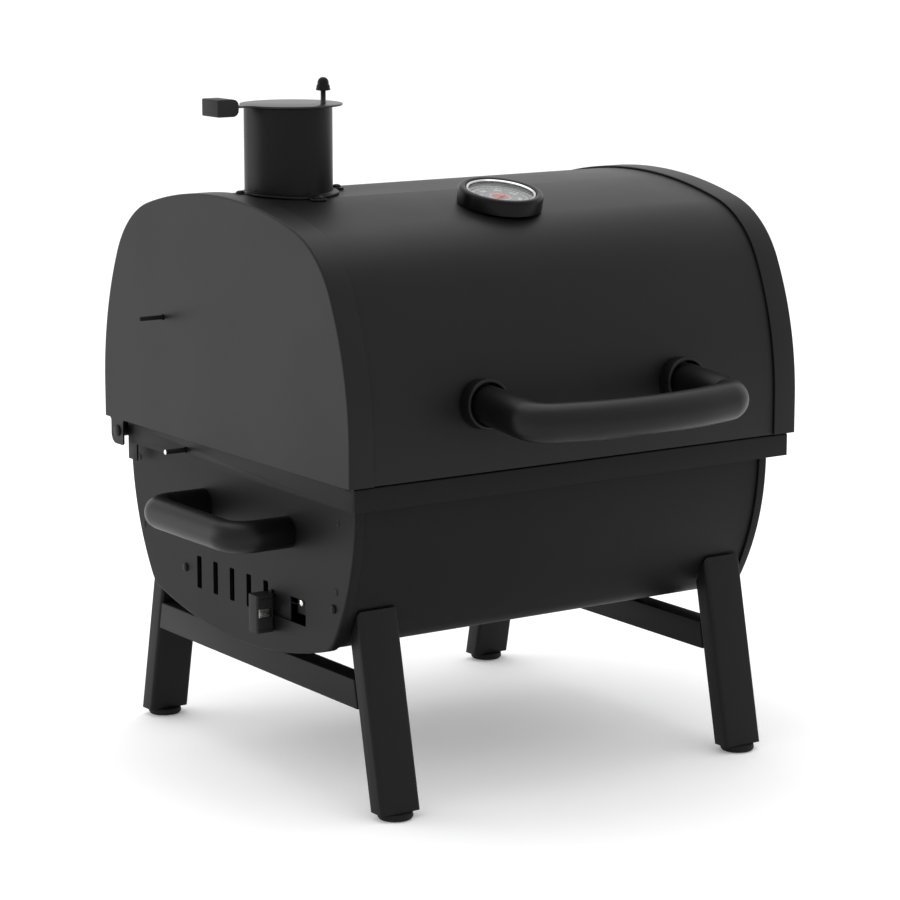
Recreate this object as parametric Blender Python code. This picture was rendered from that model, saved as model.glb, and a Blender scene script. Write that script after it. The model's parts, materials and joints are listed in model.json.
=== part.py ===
"""Table-top barrel charcoal grill with a hinged lid, chimney, lid thermometer and splayed legs.

Frame: metres, +Z up, -Y is the front with the lid handle, -X is the end with the vents.
The origin is the middle of the bounding box's bottom face, on the surface that the feet stand on.
"""

import math

import bmesh
import bpy
from mathutils import Matrix, Vector

# ---- driving dimensions, in metres ----
GAP = 0.0003

# lid: D-section sheet between two pressed end caps
LID_LENGTH = 0.432
LID_HALF_WIDTH = 0.1945
LID_STRAIGHT = 0.028
LID_SIDE_RADIUS = 0.262
LID_CORNER_RADIUS = 0.086
LID_CROWN_RADIUS = 0.425
LID_HEIGHT = 0.2033
LID_BASE_Z = 0.265
LID_BAND = 0.022

# firebox: trough between two pressed end panels
BOX_LENGTH = 0.4008
BOX_HALF_WIDTH = 0.178
BOX_STRAIGHT = 0.018
BOX_SIDE_RADIUS = 0.205
BOX_CORNER_RADIUS = 0.025
BOX_CROWN_RADIUS = 0.473
BOX_HEIGHT = 0.1576
BOX_TOP_Z = 0.264
BOX_BAND = 0.008

SHEET = 0.0015
BAND_STEP = 0.0018

# rim strips under the lid's edge
RIM_HALF_X = 0.2101
RIM_HALF_Y = 0.1916
RIM_SIDE_END_Y = 0.1645
RIM_DEPTH = 0.018
TAB_START_Y = 0.150
TAB_LOW_Z = 0.232

# legs, cross bars and feet
FOOT_HEIGHT = 0.006
FOOT_RADIUS = 0.014
LEG_X_INNER = 0.1513
LEG_X_OUTER = 0.1875
LEG_DEPTH = 0.0179
LEG_TOP_Z = 0.167
LEG_FOOT_Y = 0.1925
LEG_SPLAY = math.tan(math.radians(12.0))
LEG_WALL = 0.0015
BAR_LOW_Z = 0.083
BAR_HIGH_Z = 0.1061
BAR_WIDTH = 0.0185

# lid hinge: an ear of each end cap turns on a pin in the firebox end
HINGE_Y = 0.172
HINGE_Z = 0.255
EAR_FRONT_Y = 0.163
EAR_BACK_Y = 0.1835
EAR_LOW_Z = 0.2435
PIN_RADIUS = 0.0025

# warming rack on a parallel linkage between lid and firebox
RACK_LID_Y = 0.0897
RACK_LID_Z = 0.3613
RACK_BOX_Y = 0.0657
RACK_BOX_Z = 0.2545
RACK_HALF_X = 0.182
RACK_PIN_REACH = 0.0215
WIRE_RADIUS = 0.002

# grates
GRATE_HALF_X = 0.187
GRATE_HALF_Y = 0.168
GRATE_Z = 0.2358
COAL_HALF_X = 0.150
COAL_HALF_Y = 0.100
COAL_Z = 0.1285
GRATE_THICK = 0.005

# lid handle
HANDLE_HALF_SPAN = 0.0958
HANDLE_Z = 0.3185
HANDLE_RADIUS = 0.0152
HANDLE_REACH = 0.0695
HANDLE_BOW = 0.0123
HANDLE_DROP = 0.0063
HANDLE_BEND = 0.0165
CUP_RADIUS = 0.0195
CUP_DEPTH = 0.013

# side carry handles
CARRY_Y = -0.012
CARRY_HALF_SPAN = 0.066
CARRY_REACH = 0.048
CARRY_Z = 0.2107
CARRY_RADIUS = 0.0127

# chimney
STACK_X = -0.1495
STACK_RADIUS = 0.0352
STACK_WALL = 0.0013
STACK_LOW_Z = 0.458
STACK_TOP_Z = 0.5358
FLANGE_RADIUS = 0.0400
FLANGE_TAB_REACH = 0.0490
FLANGE_THICK = 0.0018
SCREW_CIRCLE = 0.0446
STUD_DX = 0.0254
STUD_DY = -0.012
STUD_RADIUS = 0.0023
STUD_TOP_Z = 0.5535
DAMPER_RADIUS = 0.041
DAMPER_THICK = 0.0015
GRIP_LENGTH = 0.019
GRIP_HALF_WIDTH = 0.0125
GRIP_HALF_HEIGHT = 0.0068
GRIP_SAG = 0.0

# thermometer
GAUGE_X = -0.0093
GAUGE_TILT = math.radians(12.5)
GAUGE_RADIUS = 0.0344
GAUGE_HEIGHT = 0.0135
DIAL_RADIUS = 0.0283
STEM_RADIUS = 0.003
STEM_LENGTH = 0.060

# vents in the left firebox end
SLOT_COUNT = 5
SLOT_FIRST_Y = 0.0635
SLOT_PITCH = 0.0267
SLOT_WIDTH = 0.0075
SLOT_LOW_Z = 0.138
SLOT_HIGH_Z = 0.165
WINDOW_Y = (-0.104, -0.052)
WINDOW_Z = (0.1395, 0.160)
SHUTTER_Y = (-0.0785, 0.075)
SHUTTER_Z = (0.134, 0.169)
SHUTTER_TRAVEL = 0.01335

# the barrel stands off the origin so that the bounding box is centred on it
FRONT_REACH = LID_HALF_WIDTH + HANDLE_REACH + HANDLE_BOW + HANDLE_RADIUS
BACK_REACH = LEG_FOOT_Y - LEG_DEPTH / 2 + FOOT_RADIUS
BARREL_Y = (FRONT_REACH - BACK_REACH) / 2


# ---- materials ----
def material(name, colour, roughness, metallic):
    mat = bpy.data.materials.new(name)
    mat.use_nodes = True
    shader = mat.node_tree.nodes["Principled BSDF"]
    shader.inputs["Base Color"].default_value = (*colour, 1.0)
    shader.inputs["Roughness"].default_value = roughness
    shader.inputs["Metallic"].default_value = metallic
    return mat


for old in list(bpy.data.objects):
    bpy.data.objects.remove(old, do_unlink=True)

BLACK = material("black_powder_coat", (0.03, 0.03, 0.03), 0.5, 0.0)
HANDLE_BLACK = material("satin_handle", (0.045, 0.045, 0.045), 0.4, 0.0)
GRIP_BLACK = material("grip_plastic", (0.02, 0.02, 0.02), 0.6, 0.0)
ZINC = material("zinc_wire", (0.55, 0.55, 0.54), 0.35, 1.0)
ENAMEL = material("black_enamel", (0.02, 0.02, 0.02), 0.3, 0.0)
DIAL_GREY = material("dial_face", (0.5, 0.5, 0.5), 0.5, 0.0)
RED = material("needle_red", (0.6, 0.05, 0.04), 0.4, 0.0)
GLASS = material("gauge_glass", (0.9, 0.9, 0.9), 0.05, 0.0)
STEEL = material("bright_steel", (0.7, 0.7, 0.7), 0.25, 1.0)
FOOT_BLACK = material("foot_plastic", (0.015, 0.015, 0.015), 0.7, 0.0)


# ---- outlines ----
def half_profile(half_width, straight, side_radius, corner_radius, crown_radius, height):
    """Points (across, up) from the wall's foot to the crown, on three arcs that meet tangentially."""
    side = Vector((half_width - side_radius, straight))
    crown = Vector((0.0, height - crown_radius))
    near = side_radius - corner_radius
    far = crown_radius - corner_radius
    span = crown - side
    along = (near**2 - far**2 + span.length**2) / (2 * span.length)
    off = math.sqrt(near**2 - along**2)
    unit = span.normalized()
    normal = Vector((unit.y, -unit.x))
    corner = side + unit * along + normal * off
    if (side + unit * along - normal * off).x > corner.x:
        corner = side + unit * along - normal * off
    low = math.atan2(corner.y - side.y, corner.x - side.x)
    high = math.atan2(corner.y - crown.y, corner.x - crown.x)
    points = [Vector((half_width, 0.0))]
    points += arc(side, side_radius, 0.0, low, 5)
    points += arc(corner, corner_radius, low, high, 5)[1:]
    points += arc(crown, crown_radius, high, math.pi / 2, 4)[1:]
    return points


def arc(centre, radius, start, end, steps):
    angles = [start + (end - start) * i / steps for i in range(steps + 1)]
    return [Vector((centre[0] + radius * math.cos(a), centre[1] + radius * math.sin(a))) for a in angles]


def arch(half):
    """The whole outline from the right foot over the crown to the left foot."""
    return half + [Vector((-p.x, p.y)) for p in reversed(half[:-1])]


def lid_arch(inset):
    half = half_profile(
        LID_HALF_WIDTH - inset,
        LID_STRAIGHT,
        LID_SIDE_RADIUS - inset,
        LID_CORNER_RADIUS - inset,
        LID_CROWN_RADIUS - inset,
        LID_HEIGHT - inset,
    )
    return [(BARREL_Y + p.x, LID_BASE_Z + p.y) for p in arch(half)]


def box_arch(inset):
    half = half_profile(
        BOX_HALF_WIDTH - inset,
        BOX_STRAIGHT,
        BOX_SIDE_RADIUS - inset,
        BOX_CORNER_RADIUS - inset,
        BOX_CROWN_RADIUS - inset,
        BOX_HEIGHT - inset,
    )
    return [(BARREL_Y + p.x, BOX_TOP_Z - p.y) for p in arch(half)]


def lid_surface_z(y):
    """Height of the caps' outer surface over the crown arc, at y."""
    across = y - BARREL_Y
    return LID_BASE_Z + LID_HEIGHT - LID_CROWN_RADIUS + math.sqrt(LID_CROWN_RADIUS**2 - across**2)


def ring(radius, segments, turn=0.0):
    step = 2 * math.pi / segments
    return [(radius * math.cos(turn + i * step), radius * math.sin(turn + i * step)) for i in range(segments)]


def rounded_rectangle(half_x, half_y, radius, steps=2):
    corners = ((1, 1, 0), (-1, 1, 90), (-1, -1, 180), (1, -1, 270))
    points = []
    for sx, sy, turn in corners:
        centre = (sx * (half_x - radius), sy * (half_y - radius))
        start = math.radians(turn)
        points += [tuple(p) for p in arc(centre, radius, start, start + math.pi / 2, steps)]
    return points


# ---- solids ----
def finish(name, bm, mat, smooth=False):
    bmesh.ops.recalc_face_normals(bm, faces=bm.faces)
    mesh = bpy.data.meshes.new(name)
    bm.to_mesh(mesh)
    bm.free()
    if smooth:
        mesh.shade_smooth()
        mesh.set_sharp_from_angle(angle=math.radians(35))
    mesh.materials.append(mat)
    obj = bpy.data.objects.new(name, mesh)
    bpy.context.collection.objects.link(obj)
    return obj


def place_on(axis, u, v, w):
    """Turns section coordinates (u, v) and the run w along the axis into a point."""
    if axis == "X":
        return (w, u, v)
    if axis == "Y":
        return (u, w, v)
    return (u, v, w)


def prism(name, outline, axis, low, high, mat):
    """A closed outline extruded along an axis between two values."""
    bm = bmesh.new()
    base = [bm.verts.new(place_on(axis, p[0], p[1], low)) for p in outline]
    face = bm.faces.new(base)
    grown = bmesh.ops.extrude_face_region(bm, geom=[face])
    moved = [g for g in grown["geom"] if isinstance(g, bmesh.types.BMVert)]
    bmesh.ops.translate(bm, verts=moved, vec=Vector(place_on(axis, 0, 0, high - low)))
    return finish(name, bm, mat)


def box(name, x, y, z, mat):
    outline = [(x[0], y[0]), (x[1], y[0]), (x[1], y[1]), (x[0], y[1])]
    return prism(name, outline, "Z", z[0], z[1], mat)


def turned(name, outline, place, mat, segments=24):
    """Turns (radius, height) points about +Z; a radius of 0 is a pole. Closed when no radius is 0."""
    bm = bmesh.new()
    rows = []
    for radius, height in outline:
        spots = [(0.0, 0.0)] if radius == 0 else ring(radius, segments)
        rows.append([bm.verts.new(place @ Vector((x, y, height))) for x, y in spots])
    pairs = list(zip(rows, rows[1:]))
    if all(radius > 0 for radius, height in outline):
        pairs.append((rows[-1], rows[0]))
    for low, high in pairs:
        for i in range(segments):
            a = low[i % len(low)]
            b = low[(i + 1) % len(low)]
            c = high[(i + 1) % len(high)]
            d = high[i % len(high)]
            bm.faces.new(list(dict.fromkeys((a, b, c, d))))
    return finish(name, bm, mat, smooth=True)


def pierced_plate(name, u, v, holes, axis, low, high, mat):
    """A rectangular plate with rectangular holes, each hole given as (u0, u1, v0, v1)."""
    lines_u = sorted({*u, *(h[0] for h in holes), *(h[1] for h in holes)})
    lines_v = sorted({*v, *(h[2] for h in holes), *(h[3] for h in holes)})
    bm = bmesh.new()
    spots = {}

    def vert(i, j):
        if (i, j) not in spots:
            spots[i, j] = bm.verts.new(place_on(axis, lines_u[i], lines_v[j], low))
        return spots[i, j]

    for i in range(len(lines_u) - 1):
        for j in range(len(lines_v) - 1):
            mid_u = (lines_u[i] + lines_u[i + 1]) / 2
            mid_v = (lines_v[j] + lines_v[j + 1]) / 2
            if any(h[0] < mid_u < h[1] and h[2] < mid_v < h[3] for h in holes):
                continue
            bm.faces.new((vert(i, j), vert(i + 1, j), vert(i + 1, j + 1), vert(i, j + 1)))
    grown = bmesh.ops.extrude_face_region(bm, geom=bm.faces[:])
    moved = [g for g in grown["geom"] if isinstance(g, bmesh.types.BMVert)]
    bmesh.ops.translate(bm, verts=moved, vec=Vector(place_on(axis, 0, 0, high - low)))
    return finish(name, bm, mat)


def round_path(points, radius, steps=4):
    """Rounds every inner corner of a path to an arc of the given radius."""
    path = [Vector(points[0])]
    for before, here, after in zip(points, points[1:], points[2:]):
        here = Vector(here)
        back = (Vector(before) - here).normalized()
        ahead = (Vector(after) - here).normalized()
        half = back.angle(ahead) / 2
        reach = radius / math.tan(half)
        centre = here + (back + ahead).normalized() * (radius / math.sin(half))
        start = here + back * reach - centre
        end = here + ahead * reach - centre
        path += [centre + radius * start.slerp(end, i / steps) for i in range(steps + 1)]
    return path + [Vector(points[-1])]


def rod(name, path, radius, mat, resolution=2):
    curve = bpy.data.curves.new(name, "CURVE")
    curve.dimensions = "3D"
    curve.bevel_depth = radius
    curve.bevel_resolution = resolution
    curve.use_fill_caps = True
    spline = curve.splines.new("POLY")
    spline.points.add(len(path) - 1)
    for point, spot in zip(spline.points, path):
        point.co = (*spot, 1.0)
    curve.materials.append(mat)
    obj = bpy.data.objects.new(name, curve)
    bpy.context.collection.objects.link(obj)
    return obj


def cut(obj, cutter):
    cutter.hide_render = True
    cutter.display_type = "WIRE"
    modifier = obj.modifiers.new("cut_" + cutter.name, "BOOLEAN")
    modifier.operation = "DIFFERENCE"
    modifier.solver = "EXACT"
    modifier.object = cutter


def join(obj, added):
    added.hide_render = True
    added.display_type = "WIRE"
    modifier = obj.modifiers.new("join_" + added.name, "BOOLEAN")
    modifier.operation = "UNION"
    modifier.solver = "EXACT"
    modifier.object = added


def pivot(name, spot, pieces):
    """An empty on a joint's axis, with the moving pieces parented to it where they stand."""
    empty = bpy.data.objects.new(name, None)
    empty.location = spot
    bpy.context.collection.objects.link(empty)
    for piece in pieces:
        piece.parent = empty
        piece.matrix_parent_inverse = Matrix.Translation(-Vector(spot))
    return empty


def along_x(y, z, x=0.0):
    """Frame whose +Z is world +X, for round pieces that lie along X."""
    return Matrix.Translation((x, y, z)) @ Matrix.Rotation(math.pi / 2, 4, "Y")


def bore_x(name, y, z, x0, x1, radius):
    outline = [(0, x0), (radius, x0), (radius, x1), (0, x1)]
    return turned(name, outline, along_x(y, z), BLACK, 12)


# ---- firebox ----
def firebox():
    half = BOX_LENGTH / 2
    inner = half - SHEET
    outline = box_arch(BAND_STEP) + box_arch(BAND_STEP + SHEET)[::-1]
    prism("firebox_trough", outline, "X", -inner + GAP, inner - GAP, BLACK)
    for side, sign in (("left", -1), ("right", 1)):
        x = sorted((sign * half, sign * (half - BOX_BAND)))
        pan = prism("firebox_end_" + side, box_arch(0.0), "X", *x, BLACK)
        hollow = [(BARREL_Y + BOX_HALF_WIDTH - SHEET, BOX_TOP_Z + SHEET)] + box_arch(SHEET)
        hollow += [(BARREL_Y - BOX_HALF_WIDTH + SHEET, BOX_TOP_Z + SHEET)]
        depth = sorted((sign * inner, sign * (inner - 2 * BOX_BAND)))
        cut(pan, prism("pan_hollow_" + side, hollow, "X", *depth, BLACK))
        reach = sorted((sign * (half + SHEET), sign * (inner - SHEET)))
        hinge = (BARREL_Y + HINGE_Y, HINGE_Z, *reach, PIN_RADIUS + GAP)
        cut(pan, bore_x("hinge_bore_" + side, *hinge))
        wire = (BARREL_Y + RACK_BOX_Y, RACK_BOX_Z, *reach, WIRE_RADIUS + 2 * GAP)
        cut(pan, bore_x("wire_bore_" + side, *wire))
        if side == "left":
            for i in range(SLOT_COUNT):
                y = BARREL_Y + SLOT_FIRST_Y - i * SLOT_PITCH
                span = (y - SLOT_WIDTH / 2, y + SLOT_WIDTH / 2)
                cut(pan, box(f"slot_cut_{i}", reach, span, (SLOT_LOW_Z, SLOT_HIGH_Z), BLACK))
            window = (BARREL_Y + WINDOW_Y[0], BARREL_Y + WINDOW_Y[1])
            cut(pan, box("window_cut", reach, window, WINDOW_Z, BLACK))


def rims():
    """Angle strips round the firebox's mouth, wall down and flange inward."""
    low = BOX_TOP_Z - RIM_DEPTH
    flange = BOX_TOP_Z - SHEET
    seat = BOX_HALF_WIDTH + GAP
    for name, sign in (("rim_front", -1), ("rim_back", 1)):
        section = angle_section(sign * RIM_HALF_Y, sign * seat, low, flange)
        section = [(BARREL_Y + u, v) for u, v in section]
        prism(name, section, "X", -RIM_HALF_X, RIM_HALF_X, BLACK)
    side_seat = BOX_LENGTH / 2 + GAP
    run = (BARREL_Y - seat + GAP, BARREL_Y + RIM_SIDE_END_Y)
    # each side wall runs on under the front strip's flange, and ends behind in a deeper tab
    corner_y = (BARREL_Y - RIM_HALF_Y + SHEET + GAP, run[0] + 0.002)
    tab_y = (BARREL_Y + TAB_START_Y, run[1])
    for name, sign in (("rim_left", -1), ("rim_right", 1)):
        section = angle_section(sign * RIM_HALF_X, sign * side_seat, low, flange)
        rim = prism(name, section, "Y", *run, BLACK)
        wall = sorted((sign * RIM_HALF_X, sign * (RIM_HALF_X - SHEET)))
        join(rim, box(name + "_corner", wall, corner_y, (low, flange - GAP), BLACK))
        join(rim, box(name + "_tab", wall, tab_y, (TAB_LOW_Z, low + 0.002), BLACK))
        reach = sorted((sign * (RIM_HALF_X + SHEET), sign * (RIM_HALF_X - 2 * SHEET)))
        bore = (BARREL_Y + RACK_BOX_Y, RACK_BOX_Z, *reach, WIRE_RADIUS + 2 * GAP)
        cut(rim, bore_x("rim_bore_" + name, *bore))


def angle_section(outer, inner, low, flange):
    wall = outer + math.copysign(SHEET, inner - outer)
    return [
        (outer, low),
        (outer, BOX_TOP_Z),
        (inner, BOX_TOP_Z),
        (inner, flange),
        (wall, flange),
        (wall, low),
    ]


def leg(name, side_x, side_y, box_cutter):
    """A rectangular tube that leans in towards the firebox, with open ends cut level."""
    centre_x = side_x * (LEG_X_INNER + LEG_X_OUTER) / 2
    half_x = (LEG_X_OUTER - LEG_X_INNER) / 2
    outer = rounded_rectangle(half_x, LEG_DEPTH / 2, 0.003)
    inner = rounded_rectangle(half_x - LEG_WALL, LEG_DEPTH / 2 - LEG_WALL, 0.0015)
    bm = bmesh.new()
    loops = []
    for outline, z in ((outer, FOOT_HEIGHT), (outer, LEG_TOP_Z), (inner, LEG_TOP_Z), (inner, FOOT_HEIGHT)):
        y = BARREL_Y + side_y * leg_middle(z)
        loops.append([bm.verts.new((centre_x + p[0], y + p[1], z)) for p in outline])
    for near, far in zip(loops, loops[1:] + loops[:1]):
        count = len(near)
        for i in range(count):
            j = (i + 1) % count
            bm.faces.new((near[i], near[j], far[j], far[i]))
    tube = finish(name, bm, BLACK)
    cut(tube, box_cutter)
    return tube


def leg_middle(z):
    """Distance of the leg's middle from the barrel's mid-plane, at height z."""
    return LEG_FOOT_Y - LEG_DEPTH / 2 - (z - FOOT_HEIGHT) * LEG_SPLAY


def stand():
    half = BOX_LENGTH / 2
    cutter = prism("firebox_envelope", box_arch(-GAP), "X", -half, half, BLACK)
    for end, side_x in (("left", -1), ("right", 1)):
        for row, side_y in (("front", -1), ("back", 1)):
            leg(f"leg_{row}_{end}", side_x, side_y, cutter)
            foot(f"foot_{row}_{end}", side_x, side_y)
    # both frames are the same welded part, so each bar sits at its legs' -X side
    for name, start in (("cross_bar_left", -LEG_X_OUTER), ("cross_bar_right", LEG_X_INNER)):
        low_y = leg_middle(BAR_LOW_Z) - LEG_DEPTH / 2 - GAP
        high_y = leg_middle(BAR_HIGH_Z) - LEG_DEPTH / 2 - GAP
        outline = [(-low_y, BAR_LOW_Z), (low_y, BAR_LOW_Z), (high_y, BAR_HIGH_Z), (-high_y, BAR_HIGH_Z)]
        outline = [(BARREL_Y + u, v) for u, v in outline]
        prism(name, outline, "X", start, start + BAR_WIDTH, BLACK)


def foot(name, side_x, side_y):
    """A round glide with a plug that sits inside the tube."""
    x = side_x * (LEG_X_INNER + LEG_X_OUTER) / 2
    y = BARREL_Y + side_y * leg_middle(FOOT_HEIGHT)
    pad = FOOT_HEIGHT - GAP
    outline = [
        (0, 0),
        (FOOT_RADIUS - 0.002, 0),
        (FOOT_RADIUS, 0.002),
        (FOOT_RADIUS, pad),
        (0.005, pad),
        (0.005, pad + 0.008),
        (0, pad + 0.008),
    ]
    turned(name, outline, Matrix.Translation((x, y, 0)), FOOT_BLACK, 16)


def carry_handles():
    panel = BOX_LENGTH / 2 + GAP
    for name, sign in (("carry_handle_left", -1), ("carry_handle_right", 1)):
        near = BARREL_Y + CARRY_Y - CARRY_HALF_SPAN
        far = BARREL_Y + CARRY_Y + CARRY_HALF_SPAN
        out = sign * (panel + CARRY_REACH)
        corners = [(sign * panel, near), (out, near), (out, far), (sign * panel, far)]
        path = round_path([(x, y, CARRY_Z) for x, y in corners], 0.018)
        rod(name, path, CARRY_RADIUS, HANDLE_BLACK)


# ---- inside the firebox ----
def slot_rows(half_x, half_y, rows, bar, middle):
    """Two columns of long slots with bars between them."""
    pitch = (2 * half_y - bar) / rows
    holes = []
    for i in range(rows):
        low = BARREL_Y - half_y + bar + i * pitch
        high = low + pitch - bar
        holes.append((-half_x + bar, -middle / 2, low, high))
        holes.append((middle / 2, half_x - bar, low, high))
    return holes


def grates():
    u = (-GRATE_HALF_X, GRATE_HALF_X)
    v = (BARREL_Y - GRATE_HALF_Y, BARREL_Y + GRATE_HALF_Y)
    holes = slot_rows(GRATE_HALF_X, GRATE_HALF_Y, 21, 0.005, 0.006)
    grill = pierced_plate("cooking_grate", u, v, holes, "Z", GRATE_Z, GRATE_Z + GRATE_THICK, ENAMEL)
    pivot("cooking_grate_lift", (0, BARREL_Y, GRATE_Z), [grill])
    u = (-COAL_HALF_X, COAL_HALF_X)
    v = (BARREL_Y - COAL_HALF_Y, BARREL_Y + COAL_HALF_Y)
    holes = slot_rows(COAL_HALF_X, COAL_HALF_Y, 11, 0.006, 0.008)
    coal = pierced_plate("charcoal_grate", u, v, holes, "Z", COAL_Z, COAL_Z + GRATE_THICK, ENAMEL)
    pivot("charcoal_grate_lift", (0, BARREL_Y, COAL_Z), [coal])
    for row, sign in (("front", -1), ("back", 1)):
        rail_y = sorted((BARREL_Y + sign * 0.163, BARREL_Y + sign * 0.1738))
        rail_z = (GRATE_Z - GAP - 0.002, GRATE_Z - GAP)
        box("grate_rail_" + row, (-GRATE_HALF_X, GRATE_HALF_X), rail_y, rail_z, BLACK)
        rest_y = sorted((BARREL_Y + sign * 0.090, BARREL_Y + sign * 0.094))
        rest_z = (0.1203, COAL_Z - GAP)
        box("charcoal_rest_" + row, (-COAL_HALF_X, COAL_HALF_X), rest_y, rest_z, BLACK)


def shutter():
    """A slotted plate behind the vents, with a neck through the window and a grip block outside."""
    inside = -BOX_LENGTH / 2 + SHEET + GAP
    plate = (inside, inside + 0.0012)
    u = (BARREL_Y + SHUTTER_Y[0], BARREL_Y + SHUTTER_Y[1])
    holes = []
    for i in range(SLOT_COUNT):
        y = BARREL_Y + SLOT_FIRST_Y - i * SLOT_PITCH
        holes.append((y - SLOT_WIDTH / 2, y + SLOT_WIDTH / 2, SLOT_LOW_Z, SLOT_HIGH_Z))
    slide = pierced_plate("vent_shutter", u, SHUTTER_Z, holes, "X", *plate, BLACK)
    neck_y = (BARREL_Y - 0.0556, BARREL_Y - 0.0523)
    neck = box("shutter_neck", (-0.2140, inside + 0.0006), neck_y, (0.143, 0.154), BLACK)
    join(slide, neck)
    grip_y = (BARREL_Y - 0.0567, BARREL_Y - 0.0425)
    grip = box("shutter_grip", (-0.2164, -0.2010), grip_y, (0.1262, 0.1567), GRIP_BLACK)
    socket_y = (neck_y[0] - GAP, neck_y[1] + GAP)
    cut(grip, box("grip_socket", (-0.2143, -0.200), socket_y, (0.1427, 0.1543), BLACK))
    pivot("shutter_slide", (inside, BARREL_Y, SHUTTER_Z[0]), [slide, grip, neck])
    back = plate[1] + GAP
    run = (BARREL_Y - 0.0925, BARREL_Y + 0.080)
    for name, sign, edge in (("shutter_rail_low", -1, SHUTTER_Z[0]), ("shutter_rail_top", 1, SHUTTER_Z[1])):
        near = edge + sign * GAP
        far = edge + sign * 0.004
        lip = edge - sign * 0.0025
        section = [
            (inside, near),
            (inside, far),
            (back + 0.0012, far),
            (back + 0.0012, lip),
            (back, lip),
            (back, near),
        ]
        prism(name, section, "Y", *run, BLACK)


# ---- warming rack ----
def warming_rack():
    """The rack hangs on the lid's pins and the swing legs' hooks: a parallelogram with the lid."""
    link_y = RACK_LID_Y - HINGE_Y
    link_z = RACK_LID_Z - HINGE_Z
    front_y = RACK_BOX_Y + link_y
    front_z = RACK_BOX_Z + link_z
    u = (-RACK_HALF_X, RACK_HALF_X)
    v = (BARREL_Y + front_y - 0.010, BARREL_Y + RACK_LID_Y + 0.012)
    rows = 10
    bar = 0.003
    pitch = (v[1] - v[0] - bar) / rows
    holes = []
    for i in range(rows):
        low = v[0] + bar + i * pitch
        for left, right in ((-RACK_HALF_X + 0.004, -0.002), (0.002, RACK_HALF_X - 0.004)):
            holes.append((left, right, low, low + pitch - bar))
    z = (RACK_LID_Z - 0.002, RACK_LID_Z + 0.002)
    rack = pierced_plate("warming_rack", u, v, holes, "Z", *z, ZINC)
    tip = LID_LENGTH / 2 + RACK_PIN_REACH
    pins = []
    for side, sign in (("left", -1), ("right", 1)):
        ends = sorted((sign * (RACK_HALF_X - 0.003), sign * tip))
        pin = bore_x("rack_pin_" + side, BARREL_Y + RACK_LID_Y, RACK_LID_Z, *ends, WIRE_RADIUS - 0.0003)
        join(rack, pin)
        pins.append(pin)
    pivot("warming_rack_pivot", (0, BARREL_Y + RACK_LID_Y, RACK_LID_Z), [rack, *pins])
    legs = []
    for side, sign in (("left", -1), ("right", 1)):
        start = sign * (RIM_HALF_X + 0.019)
        run = sign * 0.1925
        end = sign * (RACK_HALF_X + 0.002)
        low = (BARREL_Y + RACK_BOX_Y, RACK_BOX_Z)
        top = (BARREL_Y + front_y, front_z)
        path = round_path([(start, *low), (run, *low), (run, *top), (end, *top)], 0.005, 3)
        legs.append(rod("swing_leg_" + side, path, WIRE_RADIUS, ZINC, 1))
    pivot("swing_leg_pivot", (0, BARREL_Y + RACK_BOX_Y, RACK_BOX_Z), legs)


# ---- lid ----
def lid():
    half = LID_LENGTH / 2
    inner = half - SHEET
    outline = lid_arch(BAND_STEP) + lid_arch(BAND_STEP + SHEET)[::-1]
    sheet = prism("lid_sheet", outline, "X", -inner + GAP, inner - GAP, BLACK)
    stack = Matrix.Translation((STACK_X, BARREL_Y, 0))
    hole = [(0, 0.40), (STACK_RADIUS + GAP, 0.40), (STACK_RADIUS + GAP, 0.50), (0, 0.50)]
    cut(sheet, turned("stack_hole", hole, stack, BLACK, 32))
    probe = [(0, -0.01), (STEM_RADIUS + GAP, -0.01), (STEM_RADIUS + GAP, 0.01), (0, 0.01)]
    cut(sheet, turned("stem_hole", probe, gauge_frame(), BLACK, 12))
    pieces = [sheet]
    for side, sign in (("left", -1), ("right", 1)):
        x = sorted((sign * half, sign * (half - LID_BAND)))
        cap = prism("lid_end_" + side, lid_arch(0.0), "X", *x, BLACK)
        hollow = [(BARREL_Y + LID_HALF_WIDTH - SHEET, LID_BASE_Z - SHEET)] + lid_arch(SHEET)
        hollow += [(BARREL_Y - LID_HALF_WIDTH + SHEET, LID_BASE_Z - SHEET)]
        depth = sorted((sign * inner, sign * (inner - 2 * LID_BAND)))
        cut(cap, prism("cap_hollow_" + side, hollow, "X", *depth, BLACK))
        join(cap, ear("hinge_ear_" + side, *sorted((sign * half, sign * inner))))
        reach = sorted((sign * (half + SHEET), sign * (inner - SHEET)))
        hinge = (BARREL_Y + HINGE_Y, HINGE_Z, *reach, PIN_RADIUS + GAP)
        cut(cap, bore_x("ear_bore_" + side, *hinge))
        wire = (BARREL_Y + RACK_LID_Y, RACK_LID_Z, *reach, WIRE_RADIUS + 2 * GAP)
        cut(cap, bore_x("cap_bore_" + side, *wire))
        hinge_pin("hinge_pin_" + side, sign)
        pieces.append(cap)
    return pieces


def ear(name, x0, x1):
    """The tab of an end cap that reaches down to the hinge pin, with its lower back corner rounded."""
    turn = arc((EAR_BACK_Y - 0.008, EAR_LOW_Z + 0.008), 0.008, 0.0, -math.pi / 2, 4)
    outline = [(EAR_FRONT_Y, LID_BASE_Z + 0.004), (EAR_BACK_Y, LID_BASE_Z + 0.004)]
    outline += [tuple(p) for p in turn]
    outline += [(EAR_FRONT_Y, EAR_LOW_Z)]
    return prism(name, [(BARREL_Y + u, v) for u, v in outline], "X", x0, x1, BLACK)


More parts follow.
